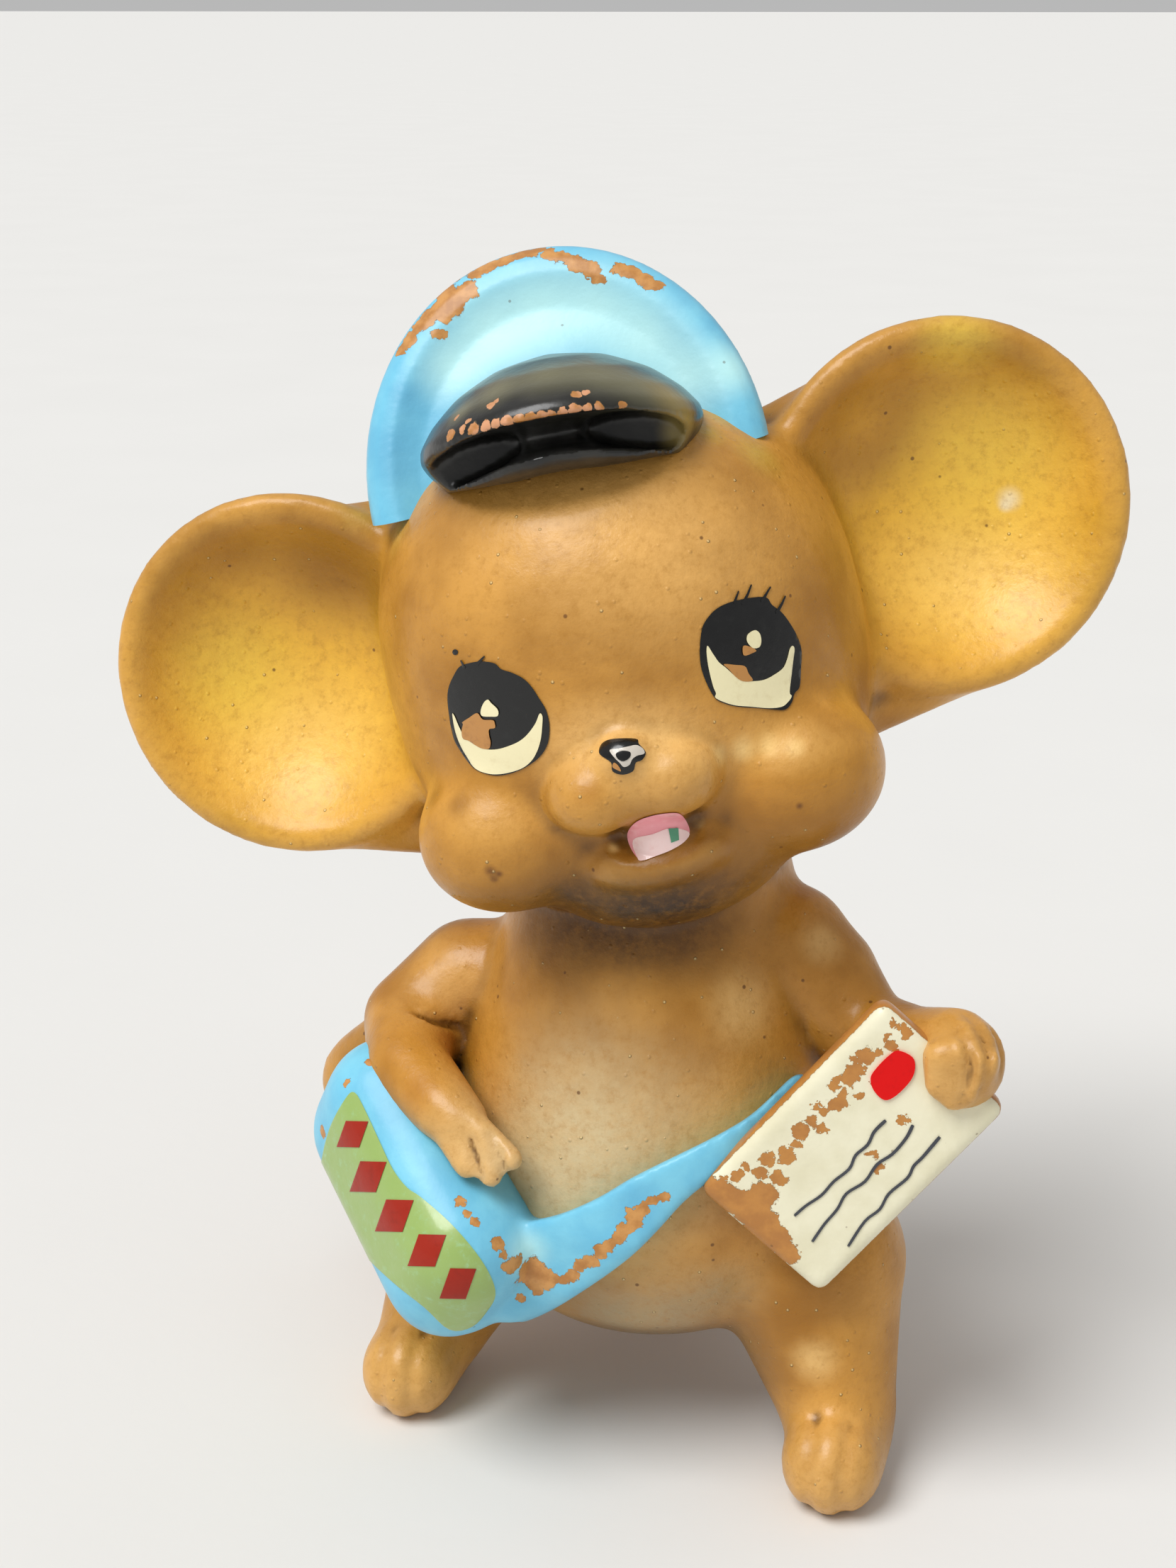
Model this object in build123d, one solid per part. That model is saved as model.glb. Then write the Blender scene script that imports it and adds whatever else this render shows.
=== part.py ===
from build123d import *
import math
import os

# A hollow fired-clay mouse dressed as a letter carrier. It faces -Y, +Z is up and its own left is +X.
# Every member is one casting, stuck with slip to the member that carries it, so its seat is cut to the
# surface of its carrier. The origin is on the floor, under the middle of the bounding box.

# Torso, a hollow bell turned about an upright axis. Heights are above the floor.
belly_radius = 14.6
belly_rise = 20.0
rump_rise = 7.0
rump_round = 7.0
shoulder_rise = 31.0
neck_radius = 8.4
neck_rise = 42.0
clay_wall = 3.0
vent_radius = 2.0

# Head, in its own frame: turned, nodding and leaning about a point on the skull's axis.
skull_half_width = 15.7
skull_crown_height = 18.0
skull_crown_radius = 17.0
skull_temple_round = 7.0
skull_chin_drop = 15.4
skull_jowl_round = 12.0
neck_sink = 3.6
head_off_x = -1.9
head_off_y = -1.0
head_turn = 13.0
head_nod = -6.0
head_lean = -13.5
cheek_round = 6.0
muzzle_round = 3.3
nose_round = 1.4
mouth_round = 3.6
tongue_round = 1.9
face_blend = 1.0

# Ears, round dishes that open into the side of the head.
ear_radius = 12.3
ear_cup = 4.6
ear_wall = 2.2
ear_reach = 22.2
ear_swing = 8.0
ear_lean = -1.8

# Cap: a round crown with a rolled seam, and a peak with a slot under its edge.
crown_radius = 12.8
crown_bulge = 2.6
crown_back = 8.0
crown_roll = 1.5
crown_crease = 0.6
crown_tilt = 20.0
peak_radius = 8.9
peak_dome = 3.2
peak_edge = 0.8
peak_slot_depth = 1.5
peak_slot_height = 1.0
peak_band = 1.6
peak_tilt = -4.0

# Arms.
left_shoulder_round = 4.6
right_shoulder_round = 4.1
elbow_round = 3.4
wrist_round = 2.5
palm_round = 2.7
fist_round = 3.4
finger_round = 0.85
finger_length = 2.6
knuckle_round = 1.2

# Legs, feet and toes. The soles are flat.
hip_round = 6.9
ankle_round = 3.7
heel_round = 3.1
toe_round = 3.2
toe_groove_depth = 0.5
toe_groove_width = 0.5
hip_rise = 13.5
ankle_rise = 4.6
hip_half_width = 11.8
stance_half_width = 15.6
left_toe_reach = 15.4
right_toe_reach = 12.8
foot_length = 10.8

# Tail, from the rump down to the floor and up again behind the right elbow.
tail_root_round = 3.2
tail_floor_round = 2.4
tail_tip_round = 1.9
tail_back_reach = 18.4
tail_side_reach = 25.0
tail_tip_rise = 23.6

# Satchel and strap.
satchel_length = 20.4
satchel_height = 12.4
satchel_depth = 9.4
satchel_round = 3.9
satchel_turn = -40.0
satchel_dip = 34.0
strap_width = 5.2
strap_tip_width = 1.5
strap_relief = 1.8

# Envelope.
envelope_length = 17.2
envelope_width = 10.6
envelope_wall = 2.2
envelope_round = 0.9
envelope_turn = 12.0
envelope_pitch = -6.0
envelope_slope = -49.0

# One overrun serves every cut that goes right through.
overrun = 40.0

# Places on the head: shares of the skull's half width to the side and forward, and of the crown's
# height upward. A negative share goes the other way.
cheek_place_shares = (0.53, 0.54, -0.43)
muzzle_place_shares = (0.135, 0.93, -0.285)
nose_place_shares = (0.0, 1.10, -0.155)
mouth_place_shares = (0.0, 1.03, -0.37)
tongue_place_shares = (0.02, 0.84, -0.50)
ear_place_shares = (0.0, -0.06, 0.25)
crown_place_shares = (-0.045, 0.19, 0.79)
peak_place_shares = (-0.02, 0.41, 0.955)

# Places on the body: shares of the belly's radius to the left and forward of the torso's axis, and of
# the shoulders' height above the floor.
left_arm_shares = ((0.62, 0.06, 1.13), (0.84, 0.10, 1.08), (1.08, 0.24, 0.99), (1.46, 0.59, 1.045))
right_arm_shares = (
    (-0.62, 0.06, 0.98), (-0.90, 0.10, 0.97), (-1.13, 0.28, 0.89), (-1.02, 0.66, 0.86),
    (-0.72, 0.92, 0.80), (-0.58, 1.00, 0.745),
)
satchel_place_shares = (-0.91, 0.78, 0.615)
envelope_place_shares = (1.07, 0.78, 0.845)
strap_low_shares = (-0.20, 0.56)
strap_high_shares = (0.74, 0.895)

# The tail's middle line: shares of its reach to the right, its reach back and its tip's height.
tail_shares = (
    (0.0, 0.48, 0.46), (-0.03, 0.86, 0.24), (0.22, 1.0, 0.10), (0.62, 0.84, 0.16),
    (0.91, 0.50, 0.42), (1.0, 0.24, 0.75), (0.82, 0.10, 1.0),
)
# The ball at a limb's joint, as a share of the thickness there.
joint_share = 1.04


def pill(start, end, start_round, end_round):
    """Two balls joined by the cone that touches both, turned in one piece."""
    run = (end - start).length
    slope = math.asin((start_round - end_round) / run)
    rise, reach = math.sin(slope), math.cos(slope)
    low_turn, high_turn = math.radians(45) + slope / 2, math.radians(45) - slope / 2
    seam = (start_round * reach, start_round * rise)
    tip_seam = (end_round * reach, run + end_round * rise)
    low = (start_round * math.sin(low_turn), -start_round * math.cos(low_turn))
    high = (end_round * math.sin(high_turn), run + end_round * math.cos(high_turn))
    with BuildSketch(Plane.XZ) as section:
        with BuildLine():
            ThreePointArc((0, -start_round), low, seam)
            Line(seam, tip_seam)
            ThreePointArc(tip_seam, high, (0, run + end_round))
            Line((0, run + end_round), (0, -start_round))
        make_face()
    return Plane(origin=start, z_dir=end - start) * revolve(section.sketch, axis=Axis.Z)


def limb(points, rounds):
    """Pills joined end to end by balls a little larger than their ends."""
    form = pill(points[0], points[1], rounds[0], rounds[1])
    for index in range(1, len(points) - 1):
        joint = Plane(origin=points[index], z_dir=points[index + 1] - points[index - 1])
        form = form + joint * Sphere(rounds[index] * joint_share)
        form = form + pill(points[index], points[index + 1], rounds[index], rounds[index + 1])
    return form


def block(align):
    """A cutting block that is larger than anything it cuts."""
    return Box(2 * overrun, 2 * overrun, 2 * overrun, align=align)


def body_spot(shares):
    """A place on the body, measured from the torso's axis."""
    aside, forward, up = shares
    return Vector(aside * belly_radius, -forward * belly_radius, up * shoulder_rise)


def head_spot(shares, side=1):
    """A place on the head, in the head's frame."""
    aside, forward, up = shares
    return Pos(side * aside * skull_half_width, -forward * skull_half_width, up * skull_crown_height)


above_floor = block((Align.CENTER, Align.CENTER, Align.MIN))
neck_length = skull_chin_drop - neck_sink
head_place = (Pos(head_off_x, head_off_y, neck_rise + neck_length) * Rot(0, 0, head_turn)
              * Rot(head_nod, head_lean, 0))
satchel_place = Pos(body_spot(satchel_place_shares)) * Rot(0, 0, satchel_turn) * Rot(0, satchel_dip, 0)
envelope_place = (Pos(body_spot(envelope_place_shares)) * Rot(0, 0, envelope_turn)
                  * Rot(envelope_pitch, 0, 0) * Rot(0, envelope_slope, 0))


# Torso

def bell(grow):
    """The torso's outside, grown by a thickness or shrunk by a wall."""
    low = rump_rise - grow
    belly = belly_radius + grow
    neck = neck_radius + grow
    outline = Polyline((0, low), (belly, low), (belly, belly_rise), (neck, neck_rise), (0, neck_rise), (0, low))
    section = Plane.XZ * make_face(outline)
    corners = section.vertices().sort_by(Axis.X)[-2:]
    return revolve(fillet(corners, rump_round + grow), axis=Axis.Z)


def make_torso(torso_form, head_form):
    vent = Pos(0, 0, rump_rise) * Cylinder(vent_radius, 4 * clay_wall)
    return torso_form - bell(-clay_wall) - vent - head_form


# Head

def skull(grow):
    """A ball-topped barrel with round jowls, turned about the head's axis."""
    half = skull_half_width + grow
    chin = skull_chin_drop + grow
    ball = skull_crown_radius + grow
    middle = skull_crown_height - skull_crown_radius
    shoulder_turn = math.acos(half / ball)
    shoulder = (half, middle + ball * math.sin(shoulder_turn))
    crown = CenterArc((0, middle), ball, math.degrees(shoulder_turn), 90 - math.degrees(shoulder_turn))
    sides = Polyline(shoulder, (half, -chin), (0, -chin), (0, middle + ball))
    section = Plane.XZ * make_face([crown, sides])
    section = fillet(section.vertices().sort_by_distance((half, 0, -chin))[0], skull_jowl_round + grow)
    section = fillet(section.vertices().sort_by_distance((half, 0, shoulder[1]))[0], skull_temple_round + grow)
    return revolve(section, axis=Axis.Z)


def make_head_form():
    """The head's outside: skull and cheeks blended, then mouth, tongue, muzzle and nose."""
    form = skull(0)
    for side in (-1, 1):
        form = form + head_spot(cheek_place_shares, side) * Sphere(cheek_round)
    form = fillet(form.edges().filter_by(GeomType.CIRCLE, reverse=True), face_blend)
    form = form - head_spot(mouth_place_shares) * Sphere(mouth_round)
    form = form + head_spot(tongue_place_shares) * Sphere(tongue_round)
    for side in (-1, 1):
        form = form + head_spot(muzzle_place_shares, side) * Sphere(muzzle_round)
    return head_place * (form + head_spot(nose_place_shares) * Sphere(nose_round))


def make_head(head_form):
    """The shell of the head, open to the torso through the neck."""
    neck_bore = Cylinder(
        neck_radius - clay_wall, neck_rise + neck_length, align=(Align.CENTER, Align.CENTER, Align.MIN)
    )
    return head_form - head_place * skull(-clay_wall) - neck_bore


def make_ear(side, head_form):
    """A bowl of even wall with a rounded lip, its mouth to the front."""
    lip = ear_wall / 2
    rim = ear_radius - lip
    bowl_radius = (rim ** 2 + ear_cup ** 2) / (2 * ear_cup)
    spread = math.asin(rim / bowl_radius)
    out = Vector(math.sin(spread), -math.cos(spread))
    along = Vector(math.cos(spread), math.sin(spread))
    lip_middle = Vector(0, bowl_radius) + out * bowl_radius
    with BuildSketch(Plane.XZ) as section:
        with BuildLine():
            back = CenterArc((0, bowl_radius), bowl_radius + lip, -90, math.degrees(spread))
            front = CenterArc((0, bowl_radius), bowl_radius - lip, -90, math.degrees(spread))
            Line(back @ 0, front @ 0)
            ThreePointArc(back @ 1, lip_middle + along * lip, front @ 1)
        make_face()
    bowl = Rot(90, 0, 0) * Pos(0, 0, -ear_cup) * revolve(section.sketch, axis=Axis.Z)
    place = head_place * head_spot(ear_place_shares) * Rot(0, ear_lean, 0) * Pos(side * ear_reach, 0, 0)
    return place * Rot(0, 0, side * ear_swing) * bowl - head_form


# Cap

def make_crown(head_form, ears):
    """A lens with a rolled seam round its edge, standing on the back of the head."""
    seam_radius = crown_radius - crown_roll
    front_radius = (seam_radius ** 2 + crown_bulge ** 2) / (2 * crown_bulge)
    back_radius = (seam_radius ** 2 + crown_back ** 2) / (2 * crown_back)
    front_turn = math.degrees(math.asin(seam_radius / front_radius))
    back_turn = math.degrees(math.asin(seam_radius / back_radius))
    with BuildSketch(Plane.XZ) as section:
        with BuildLine():
            CenterArc((0, crown_bulge - front_radius), front_radius, 90, -front_turn)
            CenterArc((0, back_radius - crown_back), back_radius, -90, back_turn)
            Line((0, -crown_back), (0, crown_bulge))
        make_face()
    bun = revolve(section.sketch, axis=Axis.Z) + Torus(seam_radius, crown_roll)
    bun = fillet(bun.edges().filter_by(GeomType.CIRCLE), crown_crease)
    place = head_place * head_spot(crown_place_shares) * Rot(90 - crown_tilt, 0, 0)
    return place * bun - head_form - ears


def make_peak(head_form, crown):
    """A domed disc with a slot under its edge and a band below, cut off by the brow and the crown."""
    throat = peak_radius - peak_slot_depth
    slot_top = -peak_edge
    slot_foot = slot_top - peak_slot_height
    dome_radius = (peak_radius ** 2 + peak_dome ** 2) / (2 * peak_dome)
    dome_turn = math.degrees(math.asin(peak_radius / dome_radius))
    with BuildSketch(Plane.XZ) as section:
        with BuildLine():
            CenterArc((0, peak_dome - dome_radius), dome_radius, 90, -dome_turn)
            Polyline(
                (peak_radius, 0),
                (peak_radius, slot_top),
                (throat, slot_top),
                (throat, slot_foot),
                (peak_radius - peak_edge, slot_foot),
                (throat, slot_foot - peak_band),
                (0, slot_foot - peak_band),
                (0, peak_dome),
            )
        make_face()
    place = head_place * head_spot(peak_place_shares) * Rot(peak_tilt, 0, 0)
    return place * revolve(section.sketch, axis=Axis.Z) - head_form - crown


# Arms

def make_left_arm(torso_form, head_form):
    """The arm that holds the envelope: a fist with three knuckles over its upper corner."""
    points = [body_spot(shares) for shares in left_arm_shares]
    rounds = (left_shoulder_round, left_shoulder_round, elbow_round, fist_round)
    arm = limb(points, rounds)
    for column in (-1, 0, 1):
        start = points[-1] + Vector(column * knuckle_round * 1.6, -fist_round * 0.6, 0)
        end = start + Vector(0, -knuckle_round / 4, -fist_round * 0.8)
        arm = arm + pill(start, end, knuckle_round, knuckle_round)
    return arm - torso_form - head_form


def make_right_arm(torso_form, head_form):
    """The arm whose fingers reach into the satchel."""
    points = [body_spot(shares) for shares in right_arm_shares]
    rounds = (
        right_shoulder_round, right_shoulder_round, elbow_round, elbow_round * 0.86, wrist_round, palm_round
    )
    arm = limb(points, rounds)
    for column in (-1, 0, 1):
        start = points[-1] + Vector(column * finger_round * 2, -palm_round * 0.3, -palm_round * 0.5)
        end = start + Vector(finger_round * 0.5, -finger_length * 0.4, -finger_length * 0.9)
        arm = arm + pill(start, end, finger_round, finger_round)
    return arm - torso_form - head_form


# Legs

def make_leg(side, toe_reach, torso_form):
    """Thigh and shin in one cone, and a foot with a flat sole and two grooves between its toes."""
    toe = Vector(side * stance_half_width, toe_round - toe_reach, toe_round * 0.85)
    heel = toe + Vector(0, foot_length - toe_round - heel_round, (heel_round - toe_round) / 2)
    ankle = Vector(toe.X - side * heel_round / 6, heel.Y, ankle_rise)
    hip = Vector(side * hip_half_width, heel.Y + hip_round / 2, hip_rise)
    leg = pill(hip, ankle, hip_round, ankle_round) + pill(heel, toe, heel_round, toe_round)
    front = block((Align.CENTER, Align.MAX, Align.CENTER))
    for column in (-1, 1):
        aside = column * toe_round * 0.36
        ball_radius = math.sqrt(toe_round ** 2 - aside ** 2)
        ring = Cylinder(2 * toe_round, toe_groove_width) - Cylinder(ball_radius - toe_groove_depth, toe_round)
        leg = leg - Pos(toe) * Pos(aside, 0, 0) * (Rot(0, 90, 0) * ring & front)
    return (leg & above_floor) - torso_form


# Tail

def make_tail(torso_form, others):
    """One curl from the rump to the floor and up the right side, with a flat where it rests."""
    points = []
    for aside, back, up in tail_shares:
        points.append(Vector(-aside * tail_side_reach, back * tail_back_reach, up * tail_tip_rise))
    slim = (tail_floor_round + tail_tip_round) / 2
    rounds = (tail_root_round, tail_root_round, tail_floor_round, tail_floor_round, slim, slim, tail_tip_round)
    return (limb(points, rounds) & above_floor) - torso_form - others


# Satchel, strap and envelope

def make_satchel(others):
    """A full pouch, round on every edge, that lies against the belly."""
    pouch = fillet(Box(satchel_length, satchel_depth, satchel_height).edges(), satchel_round)
    return satchel_place * pouch - others


def make_strap(torso_form, others):
    """A band that rises across the belly from the satchel and tapers to a round tip."""
    low_aside, low_up = strap_low_shares
    high_aside, high_up = strap_high_shares
    with BuildSketch(Plane.XZ) as outline:
        with Locations((low_aside * belly_radius, low_up * shoulder_rise)):
            Circle(strap_width / 2)
        with Locations((high_aside * belly_radius, high_up * shoulder_rise)):
            Circle(strap_tip_width / 2)
        make_hull()
    return (bell(strap_relief) & extrude(outline.sketch, overrun)) - torso_form - others


def make_envelope(others):
    plate = Box(envelope_length, envelope_wall, envelope_width)
    return envelope_place * fillet(plate.edges(), envelope_round) - others


def make_all():
    """Every member, in the order in which one makes room for the next."""
    head_form = make_head_form()
    torso_form = bell(0)
    head, torso = make_head(head_form), make_torso(torso_form, head_form)
    ear_left, ear_right = make_ear(1, head_form), make_ear(-1, head_form)
    crown = make_crown(head_form, [ear_left, ear_right])
    arm_left, arm_right = make_left_arm(torso_form, head_form), make_right_arm(torso_form, head_form)
    leg_left = make_leg(1, left_toe_reach, torso_form)
    leg_right = make_leg(-1, right_toe_reach, torso_form)
    satchel = make_satchel([torso_form, arm_right, leg_right])
    strap = make_strap(torso_form, [satchel, arm_left])
    return {
        "head": head,
        "torso": torso,
        "ear_left": ear_left,
        "ear_right": ear_right,
        "cap_crown": crown,
        "cap_peak": make_peak(head_form, crown),
        "arm_left": arm_left,
        "arm_right": arm_right,
        "leg_left": leg_left,
        "leg_right": leg_right,
        "tail": make_tail(torso_form, [arm_right, leg_right, satchel]),
        "satchel": satchel,
        "strap": strap,
        "envelope": make_envelope([torso_form, arm_left, leg_left, strap]),
    }


os.makedirs("parts", exist_ok=True)
members = make_all()
middle = Compound(list(members.values())).bounding_box().center()
for node, solid in members.items():
    export_step(Pos(-middle.X, -middle.Y, 0) * solid, f"parts/{node}.step")
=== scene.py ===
"""Looks of a hollow fired-clay mouse in a peaked cap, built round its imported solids.

The modelling is done on a bench where one unit is a millimetre, and each finished piece is shrunk to
metres. The mouse faces -Y, its own left is +X and +Z is up.
"""

import logging
import math
from collections.abc import Iterator, Sequence
from contextlib import contextmanager
from dataclasses import dataclass, field
from enum import Enum
from functools import cache

import bpy
import numpy as np
from mathutils import Matrix, Vector
from mathutils.bvhtree import BVHTree

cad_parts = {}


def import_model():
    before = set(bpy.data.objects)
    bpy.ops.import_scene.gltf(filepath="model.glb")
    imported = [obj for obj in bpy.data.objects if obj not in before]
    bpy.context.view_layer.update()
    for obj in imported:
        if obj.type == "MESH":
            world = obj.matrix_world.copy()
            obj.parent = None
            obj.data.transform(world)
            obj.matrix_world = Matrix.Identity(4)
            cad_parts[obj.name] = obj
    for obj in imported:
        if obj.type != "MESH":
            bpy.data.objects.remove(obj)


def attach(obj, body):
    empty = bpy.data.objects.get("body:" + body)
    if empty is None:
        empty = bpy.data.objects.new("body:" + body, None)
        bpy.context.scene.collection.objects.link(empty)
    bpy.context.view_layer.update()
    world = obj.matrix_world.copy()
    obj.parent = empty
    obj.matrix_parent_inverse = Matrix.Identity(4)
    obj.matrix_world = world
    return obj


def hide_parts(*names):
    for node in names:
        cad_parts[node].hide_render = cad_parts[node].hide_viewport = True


LOG = logging.getLogger("mouse")
METRES = 0.001
IMAGE_WIDTH = 1659
IMAGE_HEIGHT = 2212
SENSOR = 36.0

COARSE, MEDIUM, FINE, THIN = 0.5, 0.4, 0.3, 0.2  # Face sizes of a weld, in millimetres
FULL_TURN = 2 * math.pi
LATHE_STEPS = 72
SAME_PLACE = 0.001
SMOOTH_ANGLE = math.radians(50)
MIX_SHARE, MIX_UNDER, MIX_OVER, MIXED = 0, 6, 7, 2  # The mix node's sockets for colours

Piece = bpy.types.Object
Socket = bpy.types.NodeSocket
Material = bpy.types.Material
Numbers = Sequence[float]
Point = tuple[float, float, float]
Points = Sequence[Point]
Form = tuple[Point, Point]  # A ball's middle and its radii
Bone = tuple[Point, Point, float, float]  # A rod's two ends and the radii there
Pixel = tuple[float, float]
Pixels = Sequence[Pixel]
Marks = Sequence[tuple[float, float, float]]  # A pixel and a size in pixels, each
Profile = Sequence[tuple[float, float]]  # Radii and heights
Colour = tuple[float, float, float, float]


class Slot(Enum):
    """The record's material slots."""

    BROWN = "brown_clay"
    BLUE = "blue_paint"
    BLACK = "black_paint"
    CREAM = "cream_paint"


class Side(Enum):
    """The mouse's own two sides, as the sign of X."""

    LEFT = 1
    RIGHT = -1


def srgb(red: float, green: float, blue: float) -> Colour:
    """Turn a colour of 0 to 255 as a screen shows it into the linear colour a shader takes.

    Args:
        red, green, blue: The screen colour.

    Returns:
        The linear colour with full alpha.
    """
    linear = []
    for channel in (red, green, blue):
        share = channel / 255
        linear.append(share / 12.92 if share <= 0.04045 else ((share + 0.055) / 1.055) ** 2.4)
    return (linear[0], linear[1], linear[2], 1.0)


# Bench work


def clear_selection() -> None:
    """Leave object mode on and nothing selected."""
    if bpy.context.object and bpy.context.object.mode != "OBJECT":
        bpy.ops.object.mode_set(mode="OBJECT")
    bpy.ops.object.select_all(action="DESELECT")


def pick(piece: Piece) -> None:
    """Make one object the only selected and active one."""
    clear_selection()
    piece.select_set(True)
    bpy.context.view_layer.objects.active = piece


@contextmanager
def editing(piece: Piece) -> Iterator[None]:
    """Edit one object's mesh, with all of it selected to begin with."""
    pick(piece)
    bpy.ops.object.mode_set(mode="EDIT")
    bpy.ops.mesh.select_all(action="SELECT")
    yield
    bpy.ops.object.mode_set(mode="OBJECT")


def settle(piece: Piece, place: Matrix) -> Piece:
    """Put an object at a place and work the place into its mesh."""
    piece.matrix_world = place @ piece.matrix_world
    pick(piece)
    bpy.ops.object.transform_apply(location=True, rotation=True, scale=True)
    return piece


def rounded_box(size: Point, bevel: float, steps: int, place: Matrix) -> Piece:
    """A box with rounded edges.

    Args:
        size: Its lengths along its own axes.
        bevel: How far the rounding reaches in.
        steps: How many faces the rounding has.
        place: Where it stands.

    Returns:
        The new object.
    """
    clear_selection()
    bpy.ops.mesh.primitive_cube_add(size=1.0)
    box = settle(bpy.context.object, Matrix.Diagonal((*size, 1.0)))
    return settle(press(box, "BEVEL", width=bevel, segments=steps), place)


def axis_turn(direction: Vector) -> Matrix:
    """The turn that lays +Z along a direction."""
    return direction.to_track_quat("Z", "Y").to_matrix().to_4x4()


def tilt(degrees: float, axis: str) -> Matrix:
    """A turn about one axis."""
    return Matrix.Rotation(math.radians(degrees), 4, axis)


def ball(middle: Point, radii: Point, turn: Matrix | None = None) -> Piece:
    """A ball stretched to three radii.

    Args:
        middle: Its centre.
        radii: Its radii along its own axes.
        turn: How its own axes are turned.

    Returns:
        The new object.
    """
    clear_selection()
    bpy.ops.mesh.primitive_uv_sphere_add(segments=48, ring_count=28, radius=1.0)
    place = Matrix.Translation(middle) @ (turn or Matrix()) @ Matrix.Diagonal((*radii, 1.0))
    return settle(bpy.context.object, place)


def rod(start: Point, end: Point, start_round: float, end_round: float) -> Piece:
    """A round-ended rod that tapers from one radius to another.

    Args:
        start, end: The middles of its two ends.
        start_round, end_round: The radii there.

    Returns:
        The new object.
    """
    low, high = Vector(start), Vector(end)
    clear_selection()
    length = (high - low).length
    bpy.ops.mesh.primitive_cone_add(vertices=40, radius1=start_round, radius2=end_round, depth=length)
    body = settle(bpy.context.object, Matrix.Translation((low + high) / 2) @ axis_turn(high - low))
    ends = [ball(start, (start_round,) * 3), ball(end, (end_round,) * 3)]
    return join([body, *ends])


def chain(points: Points, rounds: Numbers) -> Piece:
    """Rods joined end to end."""
    return join([rod(*ends) for ends in zip(points, points[1:], rounds, rounds[1:])])


def curve_between(before: np.ndarray, start: np.ndarray, end: np.ndarray, after: np.ndarray, steps: int
                  ) -> list[np.ndarray]:
    """Steps of a smooth curve from one point towards the next.

    Args:
        before, start, end, after: Four points that follow each other.
        steps: How many steps lead from the second to the third.

    Returns:
        The steps, from the second point on and without the third.
    """
    return [
        0.5 * (
            2 * start + (end - before) * t + (2 * before - 5 * start + 4 * end - after) * t ** 2
            + (3 * start - before - 3 * end + after) * t ** 3
        )
        for t in np.linspace(0, 1, steps, endpoint=False)
    ]


def smooth_chain(points: Points, rounds: Numbers, steps: int = 5) -> Piece:
    """Rods along a smooth open line through points.

    Args:
        points: The points, in order.
        rounds: The radius at each.
        steps: How many rods lie between two points.

    Returns:
        The new object.
    """
    knots = np.column_stack((np.array(points, float), rounds))
    knots = np.vstack((2 * knots[0] - knots[1], knots, 2 * knots[-1] - knots[-2]))
    fours = zip(knots, knots[1:], knots[2:], knots[3:])
    rows = [row for four in fours for row in curve_between(*four, steps)]
    rows.append(knots[-2])
    return chain([tuple(row[:3]) for row in rows], [float(row[3]) for row in rows])


def lathe(outline: Profile) -> Piece:
    """Spin a closed half section of radii and heights round the Z axis.

    Args:
        outline: The section's corners, from the axis round to the axis.

    Returns:
        The turned object.
    """
    clear_selection()
    bpy.ops.mesh.primitive_circle_add(vertices=len(outline), fill_type="NOTHING")
    turned = bpy.context.object
    for vertex, (radius, height) in zip(turned.data.vertices, outline):
        vertex.co = (radius, 0.0, height)
    with editing(turned):
        bpy.ops.mesh.spin(steps=LATHE_STEPS, angle=FULL_TURN, center=(0, 0, 0), axis=(0, 0, 1))
        bpy.ops.mesh.select_all(action="SELECT")
        bpy.ops.mesh.remove_doubles(threshold=SAME_PLACE)
        bpy.ops.mesh.normals_make_consistent(inside=False)
    return turned


def join(pieces: list[Piece]) -> Piece:
    """Join several objects into the first."""
    clear_selection()
    for piece in pieces:
        piece.select_set(True)
    bpy.context.view_layer.objects.active = pieces[0]
    if len(pieces) > 1:
        bpy.ops.object.join()
    return pieces[0]


def copy_of(piece: Piece) -> Piece:
    """A copy with a mesh of its own."""
    pick(piece)
    bpy.ops.object.duplicate()
    return bpy.context.object


def press(piece: Piece, kind: str, **settings: object) -> Piece:
    """Add a modifier, set it and apply it.

    Args:
        piece: The object it acts on.
        kind: The modifier's type.
        settings: Its settings by name.

    Returns:
        The same object.
    """
    pick(piece)
    modifier = piece.modifiers.new(kind.lower(), kind)
    for name, value in settings.items():
        setattr(modifier, name, value)
    bpy.ops.object.modifier_apply(modifier=modifier.name)
    return piece


def weld(piece: Piece, grain: float, passes: int) -> Piece:
    """Melt overlapping forms into one skin and soften its creases.

    Args:
        piece: The joined forms.
        grain: The size of the new faces.
        passes: How often the skin is smoothed.

    Returns:
        The same object.
    """
    press(piece, "REMESH", mode="VOXEL", voxel_size=grain, use_smooth_shade=True)
    if passes:
        press(piece, "SMOOTH", factor=0.5, iterations=passes)
    return piece


def combine(piece: Piece, tool: Piece, how: str) -> Piece:
    """Cut, add or keep the common part of two closed objects, and use up the second."""
    press(piece, "BOOLEAN", object=tool, operation=how, solver="MANIFOLD")
    bpy.data.objects.remove(tool)
    return piece


def smooth_closed(pixels: Pixels, steps: int) -> Pixels:
    """A smooth closed line through given points."""
    ring = np.array(pixels, float)
    fours = zip(np.roll(ring, 1, 0), ring, np.roll(ring, -1, 0), np.roll(ring, -2, 0))
    return [tuple(place) for four in fours for place in curve_between(*four, steps)]


def read(items: bpy.types.bpy_prop_collection, name: str) -> np.ndarray:
    """A vector that vertices, faces or an attribute hold, one a row."""
    values = np.zeros(len(items) * 3)
    items.foreach_get(name, values)
    return values.reshape(-1, 3)


# Camera


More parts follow.
